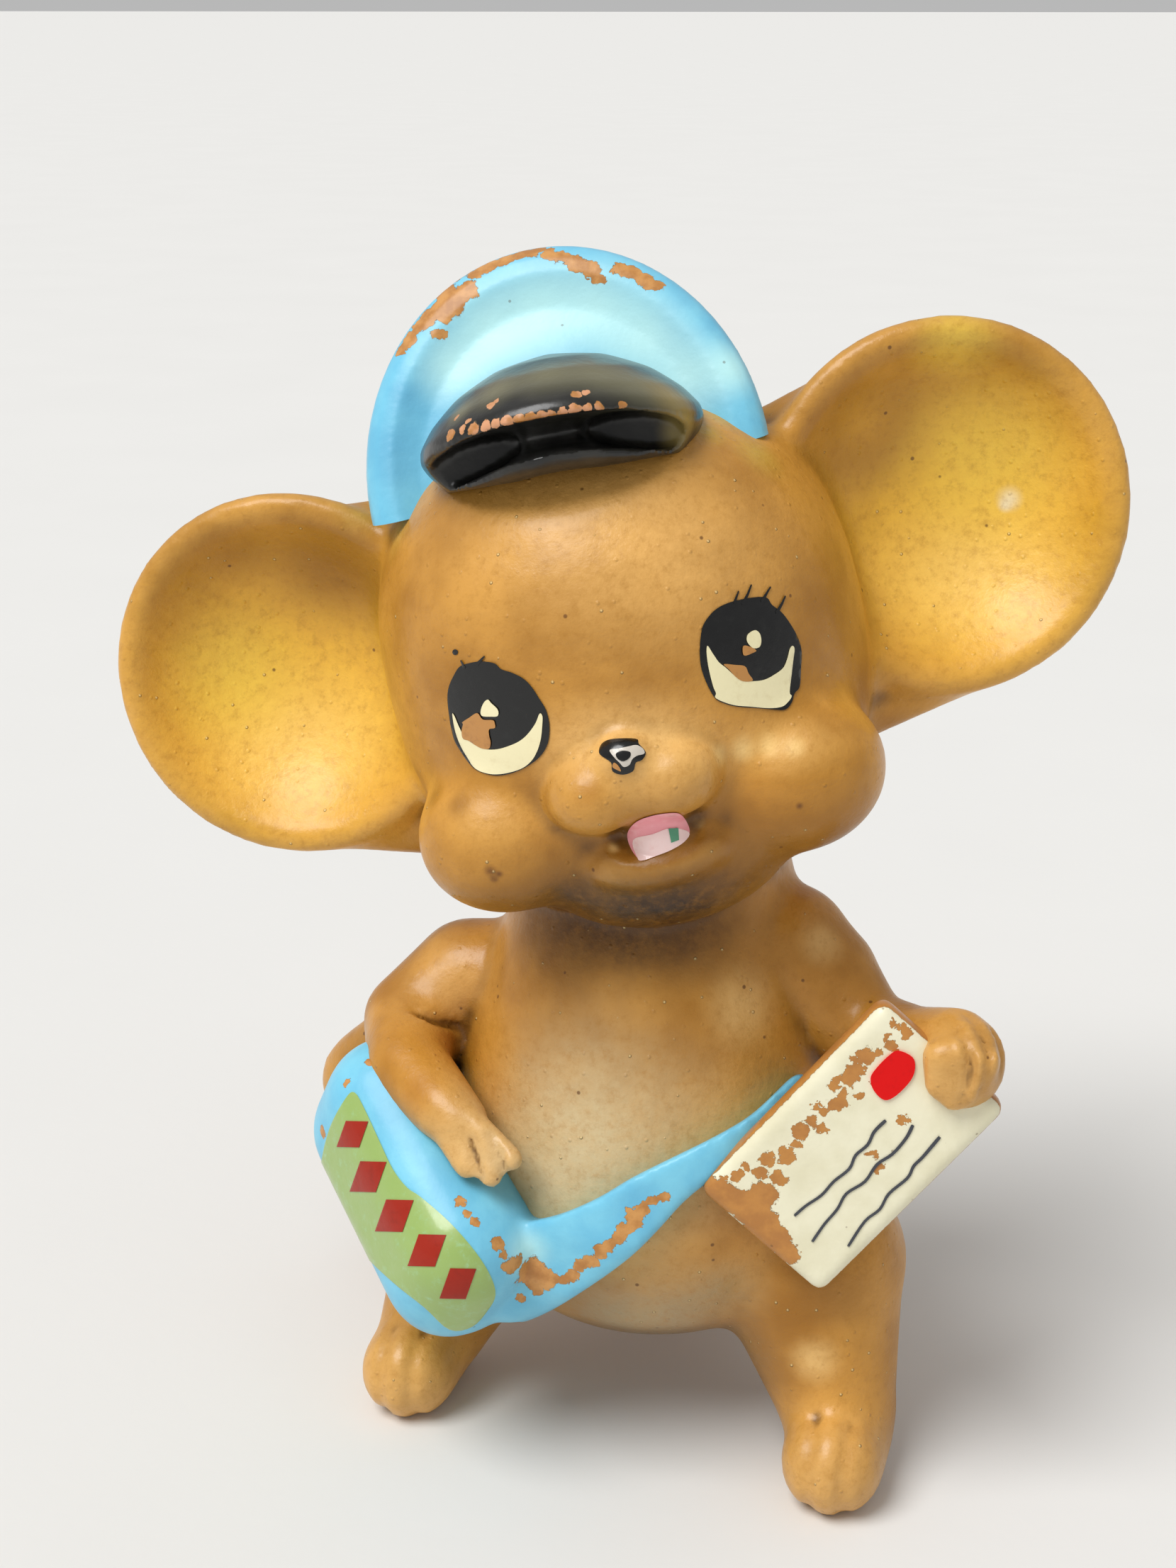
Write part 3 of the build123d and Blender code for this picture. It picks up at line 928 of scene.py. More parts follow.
@dataclass
class CastBody:
    """The one casting of head, torso and limbs, parted again along its members."""

    floor_cut: float = 0.02
    hollow_passes: int = 30
    creases: Sequence[tuple[Pixels, float]] = (
        ([(660, 1604), (671, 1634), (679, 1668)], 0.42), ([(688, 1596), (702, 1624), (712, 1656)], 0.42),
        ([(1338, 1436), (1364, 1470), (1372, 1505), (1363, 1540), (1352, 1562)], 0.4),
        ([(1364, 1430), (1390, 1464), (1398, 1500), (1390, 1534), (1380, 1556)], 0.4),
        ([(1388, 1434), (1410, 1466), (1416, 1496), (1410, 1524)], 0.38),
        ([(580, 1424), (610, 1436), (650, 1450)], 0.5),
    )
    crease_steps: int = 10
    crease_grain: float = 0.12
    head_bone: Bone = ((0, 0, -3), (0, 0, 3), 15.5, 15.5)
    torso_bone: Bone = ((0, 0, 21), (0, 0, 41), 14.6, 8.4)
    ear_bone_back: float = 2.0
    ear_bone_round: float = 3.4
    head: Head = field(default_factory=Head)
    limbs: Limbs = field(default_factory=Limbs)

    def make(self) -> Piece:
        """The whole casting as one skin."""
        legs = [settle(self.limbs.leg(side), TORSO_PLACE) for side in Side]
        torso = weld(join([Torso().make(), *legs]), COARSE, passes=8)
        tail = settle(smooth_chain(self.limbs.tail, self.limbs.tail_rounds), TORSO_PLACE)
        arms = [settle(arm, TORSO_PLACE) for arm in self.limbs.arms()]
        body = weld(join([torso, tail, *arms]), MEDIUM, passes=6)
        fingers = [settle(finger, TORSO_PLACE) for finger in self.limbs.fingers()]
        skin = weld(join([body, self.head.make(), *fingers]), FINE, passes=3)
        for groove in self.limbs.toe_grooves():
            combine(skin, groove, "DIFFERENCE")
        weld(skin, FINE, passes=1)
        for line, width in self.creases:
            self.crease(skin, line, width)
        weld(skin, FINE, passes=1)
        bisect(skin, (0, 0, self.floor_cut), (0, 0, 1))
        self.keep_hollows(skin)
        return skin

    def crease(self, skin: Piece, line: Pixels, width: float) -> None:
        """Press a crease into the skin along a line of the photograph."""
        tree = tree_of(skin)
        shares = np.linspace(0, 1, self.crease_steps)
        corners = np.array(line, float)
        steps = np.linspace(0, 1, len(line))
        pixels = zip(*(np.interp(shares, steps, corners[:, axis]) for axis in range(2)))
        places = [tuple(VIEW.spot(pixel, tree)) for pixel in pixels]
        rounds = [width * (0.7 + 0.3 * math.sin(math.pi * share)) for share in shares]
        combine(skin, weld(chain(places, rounds), self.crease_grain, passes=0), "DIFFERENCE")

    def keep_hollows(self, skin: Piece) -> None:
        """Note on the skin how far each spot lies below its smoothed surroundings."""
        soft = press(copy_of(skin), "SMOOTH", factor=0.5, iterations=self.hollow_passes)
        sharp = skin.data.vertices
        depths = np.sum((read(soft.data.vertices, "co") - read(sharp, "co")) * read(sharp, "normal"), axis=1)
        skin.data.attributes.new("hollow", "FLOAT", "POINT").data.foreach_set("value", depths)
        bpy.data.objects.remove(soft)

    def bones(self) -> dict[str, list[Bone]]:
        """The middle lines of the members, each with its radii."""
        start, end, *rounds = self.head_bone
        lines = {"head": [(on_head(start), on_head(end), *rounds)]}
        limbs = self.limbs
        start, end, *rounds = self.torso_bone
        lines["torso"] = [(on_torso(start), on_torso(end), *rounds)]
        for node, points, rounds in (
            ("arm_left", limbs.left_arm, limbs.left_rounds),
            ("arm_right", limbs.right_arm, limbs.right_rounds),
            ("tail", limbs.tail, limbs.tail_rounds),
        ):
            places = [on_torso(point) for point in points]
            lines[node] = list(zip(places, places[1:], rounds, rounds[1:]))
        for side in Side:
            hip, ankle = limbs.leg_line(side)
            x, y, z = limbs.toe(side)
            heel = (x, y + limbs.foot_length, z)
            lines[f"leg_{side.name.lower()}"] = [
                (on_torso(hip), on_torso(ankle), limbs.hip_round, limbs.ankle_round),
                (on_torso(heel), on_torso((x, y, z)), limbs.toe_round, limbs.toe_round),
            ]
        return lines

    def nearest_member(self, places: np.ndarray) -> tuple[list[str], np.ndarray]:
        """Which member each place belongs to.

        Args:
            places: Places on the bench, one a row.

        Returns:
            The members' names, and for each place the index of its own.
        """
        names, distances = [], []
        for node, lines in self.bones().items():
            nearest = np.full(len(places), np.inf)
            for start, end, start_round, end_round in lines:
                low, run = np.array(start), np.array(end) - np.array(start)
                share = np.clip((places - low) @ run / (run @ run), 0, 1)
                gap = np.linalg.norm(places - low - share[:, None] * run, axis=1)
                nearest = np.minimum(nearest, gap - start_round - (end_round - start_round) * share)
            names.append(node)
            distances.append(nearest)
        for side in Side:
            x, y, z = self.head.ear_middle
            middle = np.array(on_head(self.head.beside(side, (x, y + self.ear_bone_back, z))))
            axis = np.array(HEAD_PLACE.to_3x3() @ Vector((0, 1, 0)))
            height = (places - middle) @ axis
            flat = np.linalg.norm(places - middle - height[:, None] * axis, axis=1)
            names.append(f"ear_{side.name.lower()}")
            past_rim = np.maximum(flat - self.head.ear_radius, 0)
            distances.append(np.hypot(past_rim, height) - self.ear_bone_round)
        return names, np.argmin(np.array(distances), axis=0)

    def part(self, skin: Piece) -> dict[str, Piece]:
        """Part the skin into its members, by node, and close each where it was cut."""
        mesh = skin.data
        cast = mesh.attributes.new("cast_normal", "FLOAT_VECTOR", "POINT")
        cast.data.foreach_set("vector", read(mesh.vertices, "normal").ravel())
        names, owners = self.nearest_member(read(mesh.polygons, "center"))
        mesh.materials.clear()
        for name in names:
            mesh.materials.append(bpy.data.materials.new(name))
        mesh.polygons.foreach_set("material_index", owners.astype(np.int32))
        with editing(skin):
            bpy.ops.mesh.separate(type="MATERIAL")
        members = {}
        for member in list(bpy.context.selected_objects):
            node = member.data.materials[member.data.polygons[0].material_index].name
            member.name = f"cast_{node}"
            self.close(member)
            members[node] = member
        return members

    @staticmethod
    def close(member: Piece) -> None:
        """Close the cuts of one member with a fan each."""
        with editing(member):
            bpy.ops.mesh.select_mode(type="EDGE")
            bpy.ops.mesh.select_all(action="DESELECT")
            bpy.ops.mesh.select_non_manifold(
                extend=False, use_wire=False, use_boundary=True, use_multi_face=False,
                use_non_contiguous=False, use_verts=False,
            )
            bpy.ops.mesh.fill_holes(sides=0)
            bpy.ops.mesh.select_mode(type="FACE")
            bpy.ops.mesh.select_all(action="DESELECT")
            bpy.ops.mesh.select_face_by_sides(number=4, type="GREATER")
            bpy.ops.mesh.poke()


@dataclass
class Cap:
    """The round crown and the peak, each in its own frame on the head."""

    crown: Profile = (
        (0.0, 2.6), (3.5, 2.35), (6.2, 1.75), (7.9, 1.15), (8.9, 0.95), (9.8, 1.15), (10.8, 1.45),
        (11.8, 1.2), (12.5, 0.5), (12.8, -0.4), (12.5, -1.5), (11.6, -2.8), (9.6, -4.9), (6.0, -6.9),
        (0.0, -8.0),
    )
    grain: float = 0.25
    crown_width: float = 1.01
    crown_rise: float = 1.16
    crown_drop: float = 0.9
    crown_foot: float = 12.7
    peak: Profile = (
        (0.0, 3.3), (3.0, 2.95), (5.6, 2.15), (7.6, 1.15), (8.8, 0.3), (9.2, -0.4), (9.1, -1.2),
        (8.8, -2.1), (8.5, -2.9), (7.9, -3.5), (7.2, -3.8), (0.0, -3.8),
    )
    undercut: Profile = (
        (2.6, -1.5), (3.2, -0.9), (5.0, -0.6), (7.5, -0.5), (9.4, -0.7), (10.1, -1.1), (10.3, -1.65),
        (10.1, -2.2), (9.4, -2.6), (7.5, -2.8), (5.0, -2.7), (3.2, -2.3), (2.6, -1.8),
    )
    undercut_place: Point = (-0.2, -3.1, 0)
    undercut_width: float = 0.82
    undercut_back: float = -3.0
    peak_bend: float = 43.0
    peak_foot: float = -3.95
    crown_place: Matrix = field(default_factory=lambda: (
        HEAD_PLACE @ Matrix.Translation((-0.85, -2.98, 14.22)) @ tilt(70, "X")
    ))
    peak_place: Matrix = field(default_factory=lambda: (
        HEAD_PLACE @ Matrix.Translation((-0.31, -6.44, 17.4)) @ tilt(3, "Y")
        @ tilt(-4, "X")
    ))

    def make_crown(self) -> Piece:
        """The crown, with a rolled seam and a shallow trough inside it."""
        shape = Matrix.Translation((0, -self.crown_drop, 0)) @ Matrix.Diagonal(
            (self.crown_width, self.crown_rise, 1.0, 1.0))
        disc = settle(lathe(self.crown), shape)
        crown = weld(settle(disc, self.crown_place), self.grain, passes=4)
        bisect(crown, on_head((0, 0, self.crown_foot)), tuple(HEAD_PLACE.to_3x3() @ Vector((0, 0, 1))))
        crown.name = "crown_paint"
        return crown

    def make_peak(self) -> Piece:
        """The peak, with a crescent undercut below its lip, arched from side to side."""
        peak = lathe(self.peak)
        narrow = Matrix.Diagonal((self.undercut_width, 1.0, 1.0, 1.0))
        crescent = Matrix.Translation(self.undercut_place) @ narrow
        groove = bisect(settle(lathe(self.undercut), crescent), (0, self.undercut_back, 0), (0, -1, 0))
        combine(peak, weld(groove, THIN, passes=0), "DIFFERENCE")
        weld(peak, self.grain, passes=0)
        settle(peak, tilt(90, "X"))
        bend = math.radians(self.peak_bend)
        press(peak, "SIMPLE_DEFORM", deform_method="BEND", deform_axis="Z", angle=bend)
        settle(peak, tilt(-90, "X"))
        bisect(peak, (0, 0, self.peak_foot), (0, 0, 1))
        peak = weld(settle(peak, self.peak_place), THIN, passes=2)
        peak.name = "peak_paint"
        return peak


STRAP_LINE: Pixels = [
    (640, 1716), (700, 1724), (745, 1722), (792, 1712), (847, 1688), (890, 1662), (946, 1634), (1003, 1606),
    (1055, 1576), (1090, 1545), (1118, 1518), (1135, 1515), (1137, 1532), (1107, 1571), (1072, 1606),
    (1029, 1645), (985, 1678), (960, 1700), (935, 1728), (900, 1764), (864, 1793), (820, 1823), (777, 1849),
    (730, 1868), (680, 1872), (640, 1850), (615, 1790),
]


@dataclass
class Satchel:
    """The full pouch and the strap that rises from it, cast together and parted again."""

    size: Point = (20.4, 9.6, 12.4)
    bevel: float = 4.5
    relief: float = 1.8
    grain: float = 0.28
    strap_depths: tuple[float, float] = (138.0, 160.0)
    shoulder: Form = ((-8.1, -13.2, 15.1), (5.2, 3.5, 3.8))
    shoulder_tilt: float = 28.0
    parting: Point = (-2.6, -14.0, 18.0)
    parting_arrow: Point = (1.0, -0.15, 0.55)
    place: Matrix = field(default_factory=lambda: (
        TORSO_PLACE @ Matrix.Translation((-13.29, -11.39, 19.07)) @ tilt(-40, "Z")
        @ tilt(34, "Y")
    ))

    def strap(self) -> Piece:
        """The band over the belly, cut from a grown torso."""
        grown = press(weld(Torso().make(), COARSE, passes=4), "DISPLACE", strength=self.relief, mid_level=0.0)
        return combine(VIEW.wedge(smooth_closed(STRAP_LINE, 3), *self.strap_depths), grown, "INTERSECT")

    def make(self) -> dict[str, Piece]:
        """The satchel and the strap by node, as two closed pieces."""
        shoulder = settle(ball(*self.shoulder, tilt(self.shoulder_tilt, "Y")), TORSO_PLACE)
        pouch = rounded_box(self.size, self.bevel, 8, self.place)
        satchel = weld(join([pouch, self.strap(), shoulder]), self.grain, passes=14)
        strap = copy_of(satchel)
        spot = on_torso(self.parting)
        away = Vector(self.parting_arrow).normalized()
        bisect(satchel, spot, tuple(-away))
        bisect(strap, spot, tuple(away))
        satchel.name, strap.name = "pouch_paint", "strap_paint"
        return {"satchel": satchel, "strap": strap}


@dataclass
class Envelope:
    """The flat envelope in the left fist."""

    size: Point = (17.2, 2.2, 10.6)
    bevel: float = 0.8
    painted_depth: float = 0.15
    painted_fade: float = 0.7
    place: Matrix = field(default_factory=lambda: (
        TORSO_PLACE @ Matrix.Translation((15.62, -11.39, 26.2)) @ tilt(12, "Z")
        @ tilt(-6, "X") @ tilt(-49, "Y")
    ))

    def make(self) -> Piece:
        """The plate with soft edges."""
        plate = weld(rounded_box(self.size, self.bevel, 4, self.place), THIN, passes=3)
        plate.name = "envelope_paint"
        self.keep_sides_bare(plate)
        return plate

    def keep_sides_bare(self, plate: Piece) -> None:
        """Note on the plate how far each spot lies behind the painted front."""
        back = np.array(self.place.inverted())
        depths = read(plate.data.vertices, "co") @ back[1, :3] + back[1, 3] + self.size[1] / 2
        bare = np.clip((depths - self.painted_depth) / self.painted_fade, 0, 1)
        plate.data.attributes.new("bare", "FLOAT", "POINT").data.foreach_set("value", bare)


# Brushwork


@dataclass(frozen=True)
class Film:
    """One coat brushed through an outline of the photograph."""

    name: str
    line: Pixels
    lift: float
    rounded: bool = True


@dataclass(frozen=True)
class Coat:
    """Films of one paint, laid in one go."""

    finish: Enamel
    slot: Slot
    films: tuple[Film, ...]


STROKE_END_SHARE = 0.8


def stroke(line: Pixels, width: float, tip: float = 1.0) -> Pixels:
    """The outline of a brush stroke.

    Args:
        line: Its middle line.
        width: Its width in pixels at the start.
        tip: The share of the width that is left at its end.

    Returns:
        The closed outline.
    """
    if len(line) == 1:
        turns = [index * math.pi / 6 for index in range(12)]
        x, y = line[0]
        return [(x + width / 2 * math.cos(turn), y + width / 2 * math.sin(turn)) for turn in turns]
    path = np.array(line, float)
    along = np.gradient(path, axis=0)
    along /= np.linalg.norm(along, axis=1)[:, None]
    across = np.stack((-along[:, 1], along[:, 0]), axis=1)
    half = np.linspace(width, width * tip, len(path))[:, None] / 2
    start = path[0] - along[0] * half[0] * STROKE_END_SHARE
    end = path[-1] + along[-1] * half[-1] * STROKE_END_SHARE
    rim = [start, *(path + across * half), end, *(path - across * half)[::-1]]
    return [tuple(place) for place in rim]


class Brush:
    """Lays thin closed coats on one carrier."""

    margins = (0.9, 0.7)

    def __init__(self, carrier: Piece) -> None:
        """Take up the carrier's surface."""
        self.carrier = copy_of(carrier)
        self.tree = tree_of(self.carrier)
        self.coats: dict[float, Piece] = {}

    def lay(self, film: Film) -> Piece:
        """Make the coat of one film.

        Args:
            film: What to lay.

        Returns:
            A closed piece that stands proud of the carrier by the film's lift.
        """
        line = smooth_closed(film.line, 4) if film.rounded else film.line
        middle = tuple(np.mean(np.array(line), axis=0))
        depths = [VIEW.depth(VIEW.spot(pixel, self.tree)) for pixel in (*line, middle)]
        if film.lift not in self.coats:
            coat = copy_of(self.carrier)
            self.coats[film.lift] = press(coat, "DISPLACE", strength=film.lift, mid_level=0.0)
        before, behind = self.margins
        piece = VIEW.wedge(line, min(depths) - before, max(depths) + behind)
        press(piece, "BOOLEAN", object=self.coats[film.lift], operation="INTERSECT", solver="MANIFOLD")
        piece.name = film.name
        return piece

    def put_away(self) -> None:
        """Remove the carrier's copies."""
        for coat in (self.carrier, *self.coats.values()):
            bpy.data.objects.remove(coat)


BLACK_ENAMEL = Enamel("black_enamel", srgb(5, 5, 5), srgb(24, 24, 23), 0.2, 0.35)

# The painted eyes, nose and tongue, in the order in which they are laid
FACE_COATS = (
    Coat(BLACK_ENAMEL, Slot.BLACK, (
        Film("eye_black_right", [
            (631, 986), (633, 969), (641, 951), (649, 940), (664, 935), (680, 933), (698, 936), (707, 944),
            (722, 949), (738, 957), (750, 969), (761, 986), (770, 1001), (775, 1022), (774, 1044),
            (768, 1059), (758, 1071), (744, 1081), (730, 1088), (713, 1093), (698, 1094), (683, 1091),
            (670, 1085), (661, 1076), (651, 1062), (641, 1045), (636, 1026), (633, 1007),
        ], 0.07),
        Film("eye_black_left", [
            (987, 919), (989, 894), (994, 878), (1008, 861), (1026, 851), (1049, 845), (1071, 842),
            (1083, 844), (1089, 853), (1103, 864), (1115, 880), (1126, 900), (1131, 919), (1130, 944),
            (1128, 969), (1121, 978), (1117, 991), (1108, 1001), (1092, 1001), (1067, 999), (1040, 997),
            (1021, 992), (1008, 984), (996, 962), (989, 941),
        ], 0.07),
        Film("nose_black", [
            (845, 1057), (851, 1047), (866, 1042), (897, 1042), (901, 1049), (911, 1061), (906, 1072),
            (897, 1076), (893, 1088), (878, 1093), (864, 1088), (862, 1076), (847, 1065),
        ], 0.07),
        Film("lash_right_1", stroke([(672, 938), (683, 926)], 5.0, 0.4), 0.09, False),
        Film("lash_right_2", stroke([(655, 942), (650, 932)], 4.0, 0.5), 0.09, False),
        Film("lash_left_1", stroke([(1048, 852), (1055, 838), (1060, 825)], 5.0, 0.4), 0.09, False),
        Film("lash_left_2", stroke([(1075, 848), (1081, 838), (1087, 828)], 5.0, 0.4), 0.09, False),
        Film("lash_left_3", stroke([(1096, 864), (1103, 852), (1108, 841)], 5.0, 0.4), 0.09, False),
        Film("lash_left_4", stroke([(1036, 850), (1042, 834)], 4.0, 0.5), 0.09, False),
        Film("brow_fleck", stroke([(642, 920)], 8.0), 0.04),
    )),
    # Pale band on the nose's top: partly worn enamel, partly a painted highlight
    Coat(Enamel("glint_and_wear_enamel", srgb(206, 198, 186), srgb(150, 132, 112), 0.4), Slot.CREAM, (
        Film("nose_glint_and_wear", [
            (860, 1058), (872, 1056), (886, 1053), (898, 1051), (907, 1056), (909, 1063), (899, 1066),
            (892, 1071), (888, 1079), (880, 1082), (874, 1076), (866, 1068),
        ], 0.1),
    )),
    Coat(BLACK_ENAMEL, Slot.BLACK, (
        Film("nose_blob", [
            (869, 1063), (878, 1059), (889, 1061), (888, 1069), (879, 1074), (871, 1070),
        ], 0.13),
    )),
    Coat(Enamel("cream_enamel", srgb(244, 234, 188), srgb(230, 216, 168)), Slot.CREAM, (
        Film("eye_white_right", [
            (638, 1007), (640, 1022), (644, 1038), (651, 1055), (660, 1070), (667, 1081), (677, 1088),
            (692, 1092), (706, 1092), (722, 1089), (738, 1083), (750, 1073), (758, 1059), (763, 1042),
            (765, 1022), (765, 1010), (761, 1007), (755, 1021), (744, 1036), (732, 1046), (716, 1053),
            (701, 1057), (686, 1057), (673, 1052), (661, 1045), (653, 1042), (651, 1033), (646, 1022),
            (641, 1010),
        ], 0.12),
        Film("eye_white_left", [
            (998, 911), (997, 923), (1000, 944), (1006, 968), (1010, 978), (1009, 984), (1020, 990),
            (1037, 995), (1060, 997), (1085, 999), (1103, 997), (1112, 990), (1117, 982), (1114, 976),
            (1117, 950), (1119, 932), (1121, 916), (1118, 911), (1114, 916), (1111, 928), (1105, 942),
            (1092, 952), (1078, 959), (1062, 961), (1046, 960), (1035, 952), (1024, 942), (1014, 934),
            (1005, 921),
        ], 0.12),
        Film("eye_glint_right", [
            (688, 987), (693, 992), (702, 1001), (702, 1010), (692, 1011), (680, 1010), (678, 1003),
            (682, 992),
        ], 0.15),
        Film("eye_glint_left", [
            (1065, 889), (1072, 894), (1074, 905), (1071, 913), (1062, 914), (1054, 905), (1055, 895),
        ], 0.15),
    )),
    Coat(Enamel("bare_clay", srgb(190, 132, 62), srgb(150, 96, 40), 0.45), Slot.BROWN, (
        Film("eye_chip_right", [
            (652, 1019), (661, 1013), (673, 1006), (681, 1015), (695, 1016), (698, 1021), (698, 1027),
            (690, 1029), (690, 1038), (692, 1047), (690, 1056), (680, 1056), (670, 1051), (661, 1045),
            (653, 1042), (651, 1032), (653, 1022),
        ], 0.14),
        Film("eye_chip_left", [
            (1021, 937), (1037, 938), (1051, 940), (1056, 950), (1062, 960), (1048, 961), (1037, 954),
            (1028, 944),
        ], 0.14),
        Film("nose_chip", [(866, 1076), (872, 1080), (876, 1088), (870, 1086), (864, 1082)], 0.1),
        Film("eye_tag_left", [
            (1049, 911), (1060, 913), (1067, 918), (1060, 922), (1051, 925), (1048, 921),
        ], 0.15),
    )),
    Coat(Enamel("pink_enamel", srgb(244, 158, 166), srgb(250, 196, 200)), Slot.CREAM, (
        Film("tongue_pink", [
            (885, 1176), (897, 1160), (920, 1151), (947, 1147), (960, 1149), (969, 1160), (973, 1174),
            (966, 1187), (947, 1199), (924, 1208), (906, 1214), (899, 1210), (889, 1195),
        ], 0.07),
    )),
    Coat(Enamel("pale_enamel", srgb(252, 222, 218), srgb(244, 196, 192)), Slot.CREAM, (
        Film("tongue_pale", [
            (893, 1185), (920, 1177), (947, 1168), (972, 1174), (966, 1187), (947, 1199), (924, 1208),
            (906, 1214), (899, 1210),
        ], 0.1),
    )),
    Coat(Enamel("green_enamel", srgb(70, 148, 110), srgb(50, 118, 84)), Slot.BLUE, (
        Film("tongue_fleck", [(943, 1169), (957, 1168), (958, 1185), (947, 1189)], 0.14, False),
    )),
)


def paint_face(skin: Piece) -> None:
    """Paint the face on the skin."""
    brush = Brush(skin)
    for coat in FACE_COATS:
        for film in coat.films:
            dress(brush.lay(film), coat.finish.make(), coat.slot)
    brush.put_away()


@dataclass
class PouchPanel:
    """The green panel on the pouch, with a plain row of lozenges in place of any lettering."""

    line: Pixels = (
        (500, 1541), (514, 1564), (534, 1607), (554, 1649), (574, 1675), (594, 1689), (634, 1724),
        (670, 1765), (692, 1800), (699, 1827), (688, 1849), (666, 1872), (634, 1876), (599, 1845),
        (554, 1809), (509, 1765), (478, 1716), (456, 1658), (453, 1640), (465, 1591), (487, 1550),
    )
    lozenges: Marks = (
        (497, 1600, 36.0), (519, 1660, 42.0), (556, 1715, 44.0), (602, 1764, 44.0), (646, 1811, 42.0),
    )
    lozenge_shares: Pixels = ((-0.62, 0.50), (-0.26, -0.52), (0.62, -0.50), (0.26, 0.52))

    def make(self, pouch: Piece) -> None:
        """Paint the panel and its lozenges on the pouch."""
        brush = Brush(pouch)
        green = Enamel("green_overglaze", srgb(150, 178, 96), srgb(158, 200, 148), 0.34).make()
        red = Enamel("rust_enamel", srgb(158, 36, 16), srgb(130, 30, 12), 0.4, 0.2).make()
        dress(brush.lay(Film("panel_green", self.line, 0.06)), green, Slot.BLUE)
        for index, (x, y, size) in enumerate(self.lozenges):
            corners = [(x + size * across, y + size * down) for across, down in self.lozenge_shares]
            dress(brush.lay(Film(f"panel_lozenge_{index + 1}", corners, 0.11, False)), red, Slot.BROWN)
        brush.put_away()


@dataclass
class EnvelopeInk:
    """The red seal and the three wavy lines on the envelope."""

    seal: Pixels = (
        (1267, 1482), (1287, 1491), (1291, 1506), (1285, 1524), (1265, 1545), (1248, 1552), (1233, 1539),
        (1228, 1521), (1237, 1506), (1254, 1489),
    )
    waves: Sequence[Pixels] = (
        [(1248, 1582), (1233, 1597), (1224, 1615), (1207, 1630), (1198, 1649), (1176, 1667), (1159, 1686),
         (1137, 1701), (1122, 1714)],
        [(1287, 1589), (1278, 1606), (1259, 1628), (1237, 1643), (1220, 1667), (1194, 1684), (1181, 1706),
         (1163, 1727), (1147, 1750)],
        [(1324, 1606), (1302, 1632), (1289, 1645), (1280, 1662), (1254, 1684), (1241, 1706), (1220, 1723),
         (1198, 1756)],
    )
    width: float = 4.8

    def make(self, plate: Piece) -> None:
        """Paint the seal and the lines on the plate."""
        brush = Brush(plate)
        red = Enamel("red_enamel", srgb(222, 0, 2), srgb(200, 0, 2), 0.36, 0.15).make()
        ink = Enamel("ink_enamel", srgb(44, 48, 58), srgb(70, 76, 84)).make()
        dress(brush.lay(Film("seal_red", self.seal, 0.16)), red, Slot.CREAM)
        for index, wave in enumerate(self.waves):
            dress(brush.lay(Film(f"wave_{index + 1}", stroke(wave, self.width, 0.8), 0.07)), ink, Slot.BLACK)
        brush.put_away()


# Dressing


def dress(piece: Piece, finish: Material, slot: Slot, *nodes: str) -> None:
    """Shrink a finished piece to metres, give it its material, hang it on the root and hide the solids it
    stands for.

    Args:
        piece: The piece, still on the bench.
        finish: Its material.
        slot: The record's slot that it takes its finish from; not used.
        nodes: The solids it stands for.
    """
    settle(piece, Matrix.Diagonal((METRES, METRES, METRES, 1.0)))
    mesh = piece.data
    pick(piece)
    if "cast_normal" in mesh.attributes:
        bpy.ops.object.shade_smooth()
        normals = read(mesh.attributes["cast_normal"].data, "vector")
        mesh.attributes.remove(mesh.attributes["cast_normal"])
        mesh.normals_split_custom_set_from_vertices(normals.tolist())
    else:
        bpy.ops.object.shade_smooth_by_angle(angle=SMOOTH_ANGLE)
    mesh.materials.clear()
    mesh.materials.append(finish)
    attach(piece, "root")
    if nodes:
        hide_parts(*nodes)
    LOG.info("%s: %d faces", piece.name, len(mesh.polygons))


# Places on the paint and the clay where the photograph shows bare clay or another tone, and where light and
# shade are painted in

CROWN_WORN: Marks = (
    (566, 494, 20), (578, 478, 26), (592, 460, 28), (606, 446, 32), (622, 434, 34), (642, 424, 34),
    (658, 410, 30), (628, 412, 34), (648, 392, 34), (672, 382, 30), (692, 374, 28), (712, 366, 28),
    (734, 360, 26), (754, 356, 22), (776, 358, 22), (794, 362, 26), (814, 368, 30), (834, 380, 26),
    (846, 392, 16), (872, 378, 20), (890, 384, 28), (910, 394, 26), (926, 402, 18), (618, 474, 18),
)
# Painted highlight over the crown's dome
CROWN_HIGHLIGHT: Marks = (
    (690, 470, 100), (760, 440, 110), (840, 440, 110), (910, 480, 100), (970, 530, 90), (640, 520, 80),
    (1030, 520, 60),
)
CROWN_DEEP: Marks = (
    (545, 630, 60), (552, 670, 50), (570, 560, 40),
)
PEAK_WORN: Marks = (
    (636, 612, 16), (652, 606, 13), (668, 603, 17), (684, 599, 15), (700, 596, 17), (716, 593, 18),
    (732, 590, 18), (748, 588, 17), (764, 587, 17), (780, 585, 15), (796, 582, 15), (812, 579, 17),
    (828, 576, 13), (846, 574, 14), (880, 572, 13), (692, 572, 14), (700, 566, 11), (812, 556, 15),
    (826, 554, 12), (660, 594, 12), (644, 590, 11),
)
